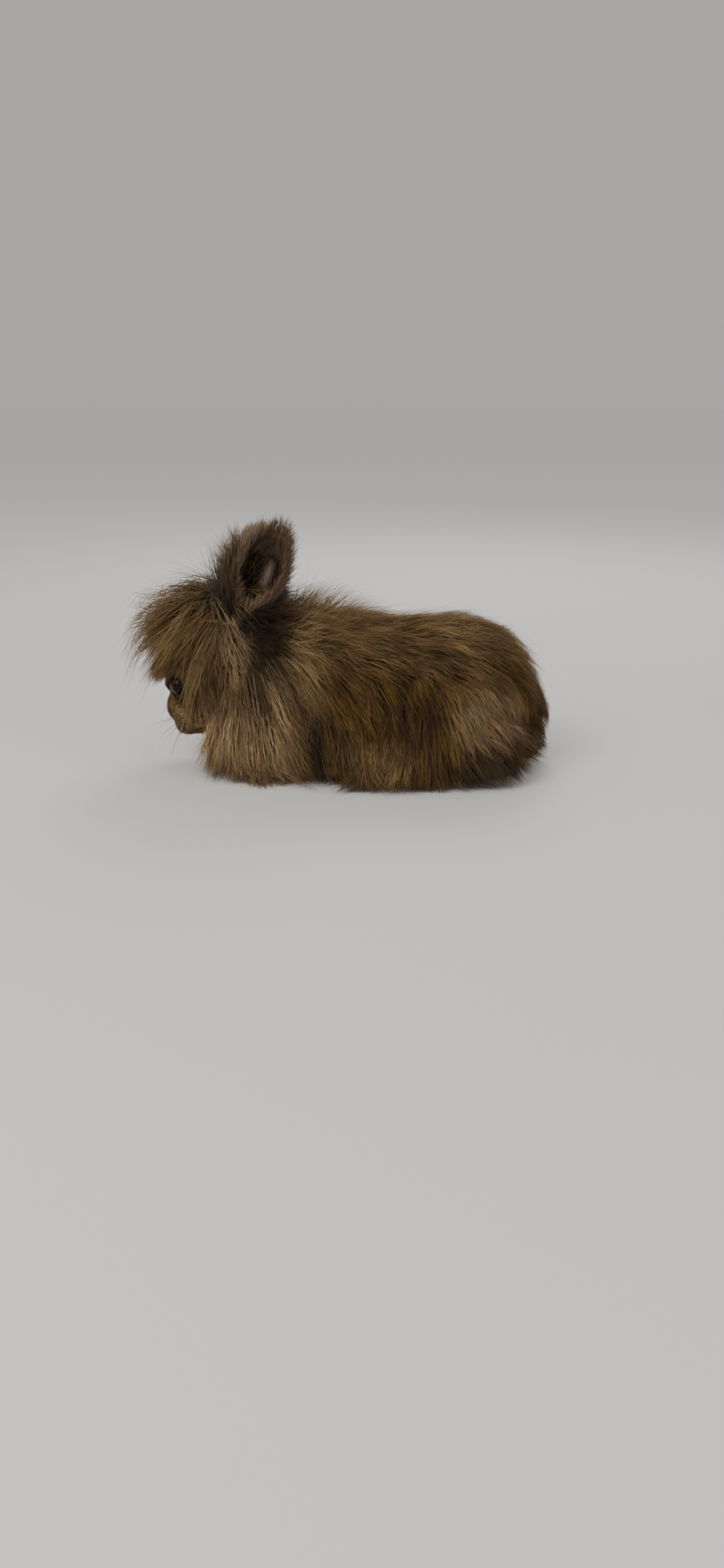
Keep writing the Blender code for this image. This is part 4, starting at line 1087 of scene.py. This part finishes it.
def earTufts(word, dice):
    count = int(ears["tufts"] * scale)
    t = 0.06 + 0.93 * dice.random(count)
    share = dice.uniform(-1.0, 1.0, count)
    centre, ahead, face, across, half, size = earFrame(word, t)
    angle = half * share
    ray = across * np.sin(angle)[:, None] - face * np.cos(angle)[:, None]
    root = centre + ray * (size - 0.0008)[:, None]
    length = (0.0100 + 0.0045 * dice.random(count)) * (1.0 + 0.25 * t)
    length = length * (1.0 - 0.45 * smoothStep(0.2, 0.8, -ray[:, 1]) * smoothStep(0.40, 0.70, t))
    lie = unit(ahead + ray * (0.22 + 0.12 * dice.random(count))[:, None]
               + dice.normal(0, 0.14, (count, 3)))
    steps = np.linspace(0.0, 1.0, 4)
    rise = np.array([0.0, 0.0006, 0.0008, 0.0006])
    paths = root[:, None] + lie[:, None] * (length[:, None, None] * steps[None, :, None])
    paths = paths + ray[:, None] * rise[None, :, None]
    tone = np.clip(dice.normal(1.0, 0.25, count), 0.4, 1.7)[:, None]
    base = np.array(tones["ear"][0])[None] * tone
    tip = np.array(tones["ear"][1])[None] * tone
    # Long hair along both rims and a little inside the cup
    extra = int(ears["fringe"] * scale)
    side = np.where(dice.random(extra) < 0.5, -1.0, 1.0)
    t2 = 0.16 + 0.80 * dice.random(extra)
    centre, ahead, face, across, half, size = earFrame(word, t2)
    share2 = side * (1.0 - 0.16 * dice.random(extra) ** 2)
    angle = half * share2
    ray2 = across * np.sin(angle)[:, None] - face * np.cos(angle)[:, None]
    way = across * np.cos(angle)[:, None] + face * np.sin(angle)[:, None]
    way = way * side[:, None]
    root2 = centre + ray2 * (size - 0.0012)[:, None]
    length2 = (0.0115 + 0.0035 * smoothStep(0.5, 1.0, t2)) * (0.6 + 0.6 * dice.random(extra))
    inward = dice.uniform(-0.15, 1.35, extra)[:, None]
    rayOut = ray2 * (1.0 - inward) * 0.5
    lie2 = unit(way * (0.65 * inward) + rayOut + ahead * 0.9 + dice.normal(0, 0.14, (extra, 3)))
    bend = unit(way * (0.20 * inward) + rayOut * 0.5 + ahead + dice.normal(0, 0.10, (extra, 3)))
    paths2 = np.stack([
        root2, root2 + lie2 * (length2 * 0.35)[:, None],
        root2 + lie2 * (length2 * 0.6)[:, None] + bend * (length2 * 0.1)[:, None],
        root2 + lie2 * (length2 * 0.65)[:, None] + bend * (length2 * 0.4)[:, None],
    ], axis=1)
    # A collar of longer hair hides where the ear leaves the head
    ruff = int(ears["ruff"] * scale)
    share3 = dice.uniform(-1.0, 1.0, ruff)
    _, _, face, across, half, _ = earFrame(word, np.full(ruff, 0.3))
    angle = half * share3
    before = smoothStep(0.10, 0.70, face[:, 1] * np.cos(angle) - across[:, 1] * np.sin(angle))
    t3 = 0.03 + (0.42 + 0.08 * before) * dice.random(ruff) ** (1.5 - 0.5 * before)
    centre, ahead, face, across, half, size = earFrame(word, t3)
    angle = half * share3
    ray3 = across * np.sin(angle)[:, None] - face * np.cos(angle)[:, None]
    root3 = centre + ray3 * (size - 0.0010)[:, None]
    length3 = 0.0205 - 0.016 * t3 + (0.0215 - 0.018 * t3) * before
    length3 = length3 * dice.uniform(0.55, 1.2, ruff)
    fall = np.array([0.0, -0.10, -0.85])
    lie3 = unit(ray3 * 0.9 + ahead * (0.20 + 1.3 * t3 + 0.35 * before)[:, None]
                + dice.normal(0, 0.14, (ruff, 3)))
    sag = (0.75 * smoothStep(0.30, 0.06, t3) * (1 - before))[:, None]
    bend3 = unit(lie3 * 0.55 + fall * sag + ahead * 0.35 + dice.normal(0, 0.16, (ruff, 3)))
    paths3 = np.stack([
        root3, root3 + lie3 * (length3 * 0.36)[:, None],
        root3 + (lie3 * 0.52 + bend3 * 0.20) * length3[:, None],
        root3 + (lie3 * 0.56 + bend3 * 0.52) * length3[:, None],
    ], axis=1)
    tone3 = np.clip(dice.normal(0.85, 0.28, ruff), 0.35, 1.7)
    # Painted shade: the collar darkens towards the root of the ear
    tone3 = (tone3 * (0.50 + 0.50 * smoothStep(0.06, 0.26, t3)))[:, None]
    # Painted shade: hair on the collar's underside turns to the dark tone
    ruffUnderShade = smoothStep(0.2, -0.5, ray3[:, 2])[:, None]
    base3 = (np.array(tones["lock"][0]) * (1 - ruffUnderShade) + np.array(tones["dark"][0]) * ruffUnderShade) * tone3
    tip3 = np.array(tones["ear"][1]) * (1 - ruffUnderShade) + np.array(tones["dark"][1]) * 1.6 * ruffUnderShade
    tip3 = tip3 * tone3 * 0.85
    tone2 = np.clip(dice.normal(1.15, 0.25, extra), 0.5, 1.8)[:, None]
    base2 = np.array(tones["ear"][0])[None] * tone2 * 1.2
    tip2 = np.array(tones["ear"][1])[None] * tone2 * 1.15
    # A few fine pale hairs inside the cup
    few = int(ears["inside"] * scale)
    atTip = dice.random(few) < 0.75
    t4 = np.where(atTip, dice.uniform(0.74, 0.94, few), dice.uniform(0.25, 0.70, few))
    share4 = dice.uniform(-0.95, 0.95, few)
    centre, ahead, face, across, half, size = earFrame(word, t4)
    angle = half * share4
    ray4 = across * np.sin(angle)[:, None] - face * np.cos(angle)[:, None]
    root4 = centre + ray4 * (size - 0.0022)[:, None]
    lie4 = unit(ahead - ray4 * 0.35 + face * 0.25 + dice.normal(0, 0.12, (few, 3)))
    length4 = 0.0085 * dice.uniform(0.6, 1.3, few)
    paths4 = root4[:, None] + lie4[:, None] * (
        length4[:, None, None] * np.linspace(0.0, 1.0, 4)[None, :, None])
    tone4 = np.clip(dice.normal(1.0, 0.25, few), 0.5, 1.7)[:, None]
    base4 = np.where(atTip[:, None], tones["ear"][0], tones["cheek"][0]) * tone4
    tip4 = np.where(atTip[:, None], tones["ear"][1], tones["cheek"][1]) * tone4
    t = np.concatenate([t, t2, t3, t4])
    share = np.concatenate([share, share2, share3, share4])
    flat = np.stack([0.60 + 0.18 * (share * 0.5 + 0.5) + (0.19 if word == "left" else 0.0),
                     0.36 + 0.13 * t], 1)
    coatPiece(
        "earFur" + word.capitalize(),
        withinReach(np.concatenate([paths, paths2, paths3, paths4])),
        np.concatenate([ray, ray2, ray3, ray4]),
        np.concatenate([0.00055 * dice.uniform(0.7, 1.3, count),
                        0.00050 * dice.uniform(0.7, 1.3, extra),
                        0.00055 * dice.uniform(0.7, 1.3, ruff),
                        np.where(atTip, 0.00045, 0.00022) * dice.uniform(0.7, 1.3, few)]),
        np.concatenate([base, base2, base3, base4]),
        np.concatenate([tip, tip2, tip3, tip4]), flat, fur,
        (0.8, 1.0, 0.7), (), "ear_fur")


for word in ("left", "right"):
    makeEar(word)
    earTufts(word, dice)
print("ears made")

# Eyes: a bulging dark globe with a wet surface, held by rounded lids
eyes = {
    "radius": 0.0070,
    "cornea": 0.0006,
    "iris": (0.022, 0.010, 0.005, 1.0),
    "pupil": (0.0025, 0.0020, 0.0020, 1.0),
    "lidGap": 0.00035,
    "opening": (64.0, 56.0),
}


def eyeMaterial():
    paint = bpy.data.materials.new("eyeDark")
    paint.use_nodes = True
    nodes, links = paint.node_tree.nodes, paint.node_tree.links
    shader = nodes["Principled BSDF"]
    shader.inputs["Roughness"].default_value = 0.06
    shader.inputs["Specular IOR Level"].default_value = 0.10
    shader.inputs["Coat Weight"].default_value = 0.10
    shader.inputs["Coat Roughness"].default_value = 0.03
    reach = nodes.new("ShaderNodeAttribute")
    reach.attribute_name = "fromPupil"
    streak = nodes.new("ShaderNodeTexNoise")
    streak.inputs["Scale"].default_value = 900.0
    ramp = nodes.new("ShaderNodeValToRGB")
    ramp.color_ramp.elements[0].position = 0.34
    ramp.color_ramp.elements[0].color = eyes["pupil"]
    ramp.color_ramp.elements[1].position = 0.42
    ramp.color_ramp.elements[1].color = eyes["iris"]
    edge = ramp.color_ramp.elements.new(0.92)
    edge.color = (0.006, 0.003, 0.002, 1.0)
    wobble = nodes.new("ShaderNodeMath")
    wobble.operation = "MULTIPLY_ADD"
    wobble.inputs[1].default_value = 0.05
    links.new(streak.outputs["Fac"], wobble.inputs[0])
    links.new(reach.outputs["Fac"], wobble.inputs[2])
    links.new(wobble.outputs["Value"], ramp.inputs["Fac"])
    links.new(ramp.outputs["Color"], shader.inputs["Base Color"])
    return paint


def aimed(look):
    look = Vector(look).normalized()
    up = Vector((0.0, 0.0, 1.0))
    across = up.cross(look).normalized()
    up = look.cross(across)
    return np.array(across), np.array(up), np.array(look)


def makeEye(word, material):
    centre, look = eyeCentres[word], eyeLooks[word]
    across, up, look = aimed(look)
    rows, columns = 40, 56
    polar = np.linspace(0.0, math.pi, rows)
    points = []
    reach = []
    for angle in polar:
        swell = eyes["radius"] + eyes["cornea"] * math.exp(-((angle / 0.75) ** 4))
        for k in range(columns):
            turn = 2 * math.pi * k / columns
            ray = (look * math.cos(angle) + math.sin(angle) * (
                across * math.cos(turn) + up * math.sin(turn)))
            points.append(centre + ray * swell)
            reach.append(angle / (math.pi * 0.5))
    faces = []
    for row in range(rows - 1):
        for k in range(columns):
            after = (k + 1) % columns
            a, b = row * columns + k, row * columns + after
            faces.append((a, a + columns, b + columns))
            faces.append((a, b + columns, b))
    item = meshFrom("eye" + word.capitalize(), np.array(points), np.array(faces))
    shape = bmesh.new()
    shape.from_mesh(item.data)
    layerValues = np.array(reach, np.float32)
    shape.free()
    layer = item.data.attributes.new("fromPupil", "FLOAT", "POINT")
    layer.data.foreach_set("value", layerValues)
    shape = bmesh.new()
    shape.from_mesh(item.data)
    bmesh.ops.remove_doubles(shape, verts=shape.verts[:], dist=1e-6)
    bmesh.ops.recalc_face_normals(shape, faces=shape.faces[:])
    shape.to_mesh(item.data)
    shape.free()
    item.data.shade_smooth()
    item.data.materials.append(material)
    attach(item, "root")
    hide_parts("eye_" + word)
    return item


# Lids: a shell round the eye with an almond opening, thick and round at its edge
def makeLids(word):
    centre, look = eyeCentres[word], eyeLooks[word]
    across, up, look = aimed(look)
    columns = 56
    wide, tall = (math.radians(value) for value in eyes["opening"])
    profile = ((0.0, -0.00005), (0.0, 0.00035), (0.03, 0.0007), (0.10, 0.00095), (0.22, 0.0010),
               (0.40, 0.0008), (0.62, 0.0002), (0.85, -0.0012))
    points = []
    colour = []
    for late, rise in profile:
        for k in range(columns):
            turn = 2 * math.pi * k / columns
            open_ = 1.0 / math.sqrt((math.cos(turn) / wide) ** 2 + (math.sin(turn) / tall) ** 2)
            angle = open_ + late
            radius = eyes["radius"] + eyes["lidGap"] + rise
            ray = (look * math.cos(angle) + math.sin(angle) * (
                across * math.cos(turn) + up * math.sin(turn)))
            points.append(centre + ray * radius)
            edge = 1.0 - min(1.0, late / 0.16)
            dark = np.array([0.018, 0.011, 0.008])
            soft = np.array([0.050, 0.030, 0.016])
            colour.append(tuple(dark * edge + soft * (1 - edge)) + (1.0,))
    faces = []
    for row in range(len(profile) - 1):
        for k in range(columns):
            after = (k + 1) % columns
            a, b = row * columns + k, row * columns + after
            faces.append((a, b, b + columns))
            faces.append((a, b + columns, a + columns))
    item = meshFrom("lids" + word.capitalize(), np.array(points), np.array(faces))
    layer = item.data.color_attributes.new("coatColour", "FLOAT_COLOR", "POINT")
    layer.data.foreach_set("color", np.array(colour, np.float32).ravel())
    item.data.materials.append(fur)
    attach(item, "root")
    return item


lidFur = {
    "tufts": 1500,
    "length": 0.0030,
}


def makeLidFur(word, dice):
    centre = eyeCentres[word]
    across, up, look = aimed(eyeLooks[word])
    count = int(lidFur["tufts"] * scale)
    turn = dice.uniform(0, 2 * math.pi, count)
    wide, tall = (math.radians(value) for value in eyes["opening"])
    opening = 1.0 / np.sqrt((np.cos(turn) / wide) ** 2 + (np.sin(turn) / tall) ** 2)
    late = dice.uniform(0.07, 0.90, count)
    angle = opening + late
    flat = across[None] * np.cos(turn)[:, None] + up[None] * np.sin(turn)[:, None]
    ray = look[None] * np.cos(angle)[:, None] + flat * np.sin(angle)[:, None]
    away = flat * np.cos(angle)[:, None] - look[None] * np.sin(angle)[:, None]
    drop = 0.0012 * smoothStep(0.45, 0.90, late)
    root = centre + ray * (eyes["radius"] + 0.0011 - drop)[:, None]
    back = fromHead(np.array([-1.0, 0.0, 0.15]))
    lie = back[None] * 0.75 + away * (0.9 - 0.3 * late)[:, None]
    lie = unit(lie - ray * np.sum(lie * ray, axis=1, keepdims=True)
               + dice.normal(0, 0.12, (count, 3)) + ray * 0.22)
    length = lidFur["length"] * dice.uniform(0.6, 1.25, count) * (0.6 + 0.7 * late)
    paths = np.stack([root, root + lie * (length * 0.55)[:, None] + ray * 0.0003,
                      root + lie * length[:, None] + ray * 0.0002], 1)
    tone = np.clip(dice.normal(1.0, 0.22, count), 0.5, 1.6)[:, None]
    deep = smoothStep(0.10, 0.85, late)[:, None]
    base = (np.array(tones["dark"][0]) * (1 - deep) + np.array(tones["face"][0]) * deep) * tone
    tip = (np.array(tones["dark"][1]) * (1 - deep) * 1.6
           + np.array(tones["face"][1]) * deep * 0.8) * tone
    places = rollOut(root, np.full(count, headPart))
    coatPiece("lidFur" + word.capitalize(), paths, ray,
              0.00034 * dice.uniform(0.7, 1.3, count), base, tip, places, fur,
              (0.8, 1.0), (), "face_fur")


eyePaint = eyeMaterial()
for word in ("left", "right"):
    makeEye(word, eyePaint)
    makeLids(word)
    makeLidFur(word, dice)
print("eyes made")


# Tubes that lie on the skin or stand from it, tapered to their ends
def tube(points, sizes, sides=6):
    points = np.array(points, float)
    sizes = np.array(sizes, float)
    ahead = unit(np.gradient(points, axis=0))
    helper = np.array([0.31, 0.17, 0.93])
    across = unit(np.cross(ahead, helper))
    over = np.cross(across, ahead)
    turn = 2 * math.pi * np.arange(sides) / sides
    ring = (across[:, None] * np.cos(turn)[None, :, None]
            + over[:, None] * np.sin(turn)[None, :, None])
    shell = points[:, None] + ring * sizes[:, None, None]
    faces = []
    for row in range(len(points) - 1):
        for k in range(sides):
            after = (k + 1) % sides
            a, b = row * sides + k, row * sides + after
            faces.append((a, b, b + sides))
            faces.append((a, b + sides, a + sides))
    for k in range(1, sides - 1):
        faces.append((0, k + 1, k))
        start = (len(points) - 1) * sides
        faces.append((start, start + k, start + k + 1))
    return shell.reshape(-1, 3), np.array(faces)


def joinTubes(name, tubes):
    points = []
    faces = []
    start = 0
    for shell, part in tubes:
        points.append(shell)
        faces.append(part + start)
        start += len(shell)
    return meshFrom(name, np.concatenate(points), np.concatenate(faces))


def onSkin(localPoint, direction, sink):
    out = headWorld.to_3x3() @ Vector(direction).normalized()
    start = headWorld @ Vector(localPoint)
    hit, normal, _, _ = skinTree.ray_cast(start + out * 0.05, -out, 0.1)
    return np.array(hit - normal * sink)


nose = {
    "slit": 0.00055,
    "mouth": 0.00050,
    "colour": (0.045, 0.018, 0.013, 1.0),
}


def plainMaterial(name, colour, roughness):
    paint = bpy.data.materials.new(name)
    paint.use_nodes = True
    nodes, links = paint.node_tree.nodes, paint.node_tree.links
    shader = nodes["Principled BSDF"]
    shader.inputs["Roughness"].default_value = roughness
    grain = nodes.new("ShaderNodeTexNoise")
    grain.inputs["Scale"].default_value = 600.0
    ramp = nodes.new("ShaderNodeValToRGB")
    ramp.color_ramp.elements[0].position = 0.3
    ramp.color_ramp.elements[0].color = tuple(0.7 * value for value in colour[:3]) + (1.0,)
    ramp.color_ramp.elements[1].position = 0.7
    ramp.color_ramp.elements[1].color = tuple(1.3 * value for value in colour[:3]) + (1.0,)
    links.new(grain.outputs["Fac"], ramp.inputs["Fac"])
    links.new(ramp.outputs["Color"], shader.inputs["Base Color"])
    return paint


def makeNose():
    tubes = []
    for side in (-1.0, 1.0):
        slit = []
        for k in range(9):
            t = k / 8
            slit.append(onSkin(
                (0.034, side * (0.0008 + 0.0038 * t), -0.0128 + 0.0042 * t - 0.0012 * t * t),
                (1.0, side * 0.25 * t, 0.12), 0.0001))
        tubes.append(tube(slit, [nose["slit"] * (0.5 + 0.6 * math.sin(math.pi * k / 8))
                                 for k in range(9)]))
    cleft = [onSkin((0.030, 0.0, -0.0128 - 0.0080 * k / 7), (1.0, 0.0, -0.15 - 0.10 * k), 0.0001)
             for k in range(8)]
    tubes.append(tube(cleft, [nose["mouth"]] * 8))
    for side in (-1.0, 1.0):
        line = []
        for k in range(12):
            angle = math.radians(4.0 + 104.0 * k / 11)
            rise = 0.0022 * math.sin(angle)
            line.append(onSkin((0.0215, 0.0, -0.0197 + rise),
                               (math.cos(angle), side * math.sin(angle), 0.0), 0.0001))
        tubes.append(tube(line, [nose["mouth"] * (1.0 - 0.05 * k) for k in range(12)]))
    item = joinTubes("noseAndMouth", tubes)
    item.data.materials.append(plainMaterial("noseSkin", nose["colour"], 0.5))
    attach(item, "root")


whiskers = {
    "perSide": 13,
    "length": 0.036,
    "thickness": 0.00016,
}


def makeWhiskers(dice):
    tubes = []
    for side in (-1.0, 1.0):
        for k in range(whiskers["perSide"]):
            row, column = k % 3, k // 3
            root = onSkin((0.026 - 0.0035 * column, side * 0.004, -0.0115 - 0.0028 * row),
                          (0.25, side, 0.0), 0.0003)
            lie = unit(fromHead(np.array([-0.12 - 0.12 * column, side, 0.10 - 0.25 * row]))
                       + dice.normal(0, 0.07, 3))
            length = whiskers["length"] * dice.uniform(0.6, 1.1)
            points = [root + lie * length * t + np.array([0, 0, -0.006]) * t * t
                      for t in np.linspace(0, 1, 7)]
            points = [np.array([x, y, max(z, 0.001)]) for x, y, z in points]
            tubes.append(tube(points, np.linspace(1.0, 0.35, 7) * whiskers["thickness"], 4))
    item = joinTubes("whiskers", tubes)
    item.data.materials.append(plainMaterial("whisker", (0.42, 0.34, 0.25, 1.0), 0.4))
    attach(item, "root")


claws = {
    "length": 0.0055,
    "thickness": 0.0011,
}


def makeClaws():
    tubes = []
    for side in (-1.0, 1.0):
        for x, y, spread in ((0.019, -0.079, 0.0042), (0.038, -0.004, 0.0048)):
            for k in range(4):
                across = (k - 1.5) * spread
                root = np.array([side * x + across, y + 0.0008 * (k - 1.5) ** 2, 0.0042]) + shift
                ahead = unit(np.array([0.12 * (k - 1.5), -1.0, -0.15]))
                points = [root + ahead * claws["length"] * t + np.array([0, 0, -0.0024]) * t * t
                          for t in np.linspace(0, 1, 6)]
                sizes = claws["thickness"] * (1.0 - np.linspace(0, 1, 6) ** 1.6 * 0.88)
                tubes.append(tube(points, sizes, 8))
    item = joinTubes("claws", tubes)
    item.data.materials.append(plainMaterial("clawHorn", (0.060, 0.042, 0.030, 1.0), 0.35))
    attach(item, "root")


makeNose()
makeWhiskers(dice)
makeClaws()
print("nose, whiskers and claws made")

# Floor, light and camera
studio = {
    "floor": (0.74, 0.72, 0.69, 1.0),
    "farFloor": (0.97, 0.97, 0.97, 1.0),
    "world": (0.80, 0.785, 0.76, 1.0),
    "worldStrength": 0.60,
    "focal": 1250.0,
    "imageSize": (886, 1920),
    "cameraPlace": Vector((0.695, 0.018, 0.2557)),
    "cameraAhead": Vector((-0.931, 0.0, -0.3649)),
}


def makeStudio():
    shape = bmesh.new()
    bmesh.ops.create_grid(shape, x_segments=2, y_segments=2, size=12.0)
    mesh = bpy.data.meshes.new("floor")
    shape.to_mesh(mesh)
    shape.free()
    floor = bpy.data.objects.new("floor", mesh)
    bpy.context.scene.collection.objects.link(floor)
    paint = bpy.data.materials.new("floorPaint")
    paint.use_nodes = True
    nodes, links = paint.node_tree.nodes, paint.node_tree.links
    shader = nodes["Principled BSDF"]
    shader.inputs["Roughness"].default_value = 0.9
    shader.inputs["Specular IOR Level"].default_value = 0.1
    # The floor pales with distance, so that it meets the light behind it softly
    place = nodes.new("ShaderNodeTexCoord")
    reach = nodes.new("ShaderNodeVectorMath")
    reach.operation = "LENGTH"
    spread = nodes.new("ShaderNodeMapRange")
    spread.inputs["From Min"].default_value = 0.35
    spread.inputs["From Max"].default_value = 1.6
    blend = nodes.new("ShaderNodeValToRGB")
    blend.color_ramp.elements[0].color = studio["floor"]
    blend.color_ramp.elements[1].color = studio["farFloor"]
    links.new(place.outputs["Object"], reach.inputs[0])
    links.new(reach.outputs["Value"], spread.inputs["Value"])
    links.new(spread.outputs["Result"], blend.inputs["Fac"])
    links.new(blend.outputs["Color"], shader.inputs["Base Color"])
    mesh.materials.append(paint)
    world = bpy.data.worlds.new("studio")
    world.use_nodes = True
    world.node_tree.nodes["Background"].inputs["Color"].default_value = studio["world"]
    world.node_tree.nodes["Background"].inputs["Strength"].default_value = studio["worldStrength"]
    bpy.context.scene.world = world
    for name, place, size, power in (
        ("key", (0.70, -0.55, 0.95), 0.7, 9.0),
        ("fill", (0.60, 0.90, 0.60), 0.9, 3.0),
        ("rim", (-0.80, 0.20, 0.90), 0.7, 5.0),
    ):
        light = bpy.data.lights.new(name, "AREA")
        light.shape = "DISK"
        light.size = size
        light.energy = power
        lamp = bpy.data.objects.new(name, light)
        lamp.location = place
        lamp.rotation_euler = (Vector((0, 0, 0.06)) - Vector(place)).to_track_quat(
            "-Z", "Y").to_euler()
        bpy.context.scene.collection.objects.link(lamp)


def makeCamera():
    lens = bpy.data.cameras.new("camera")
    lens.sensor_width = 36.0
    lens.lens = studio["focal"] / studio["imageSize"][1] * 36.0
    lens.clip_start = 0.01
    item = bpy.data.objects.new("camera", lens)
    bpy.context.scene.collection.objects.link(item)
    ahead = studio["cameraAhead"].normalized()
    right = Vector((0.0, 1.0, 0.0))
    up = right.cross(ahead)
    turn = Matrix((right, up, -ahead)).transposed().to_4x4()
    item.matrix_world = Matrix.Translation(studio["cameraPlace"] + step) @ turn
    bpy.context.scene.camera = item


makeStudio()
makeCamera()
print("studio ready")
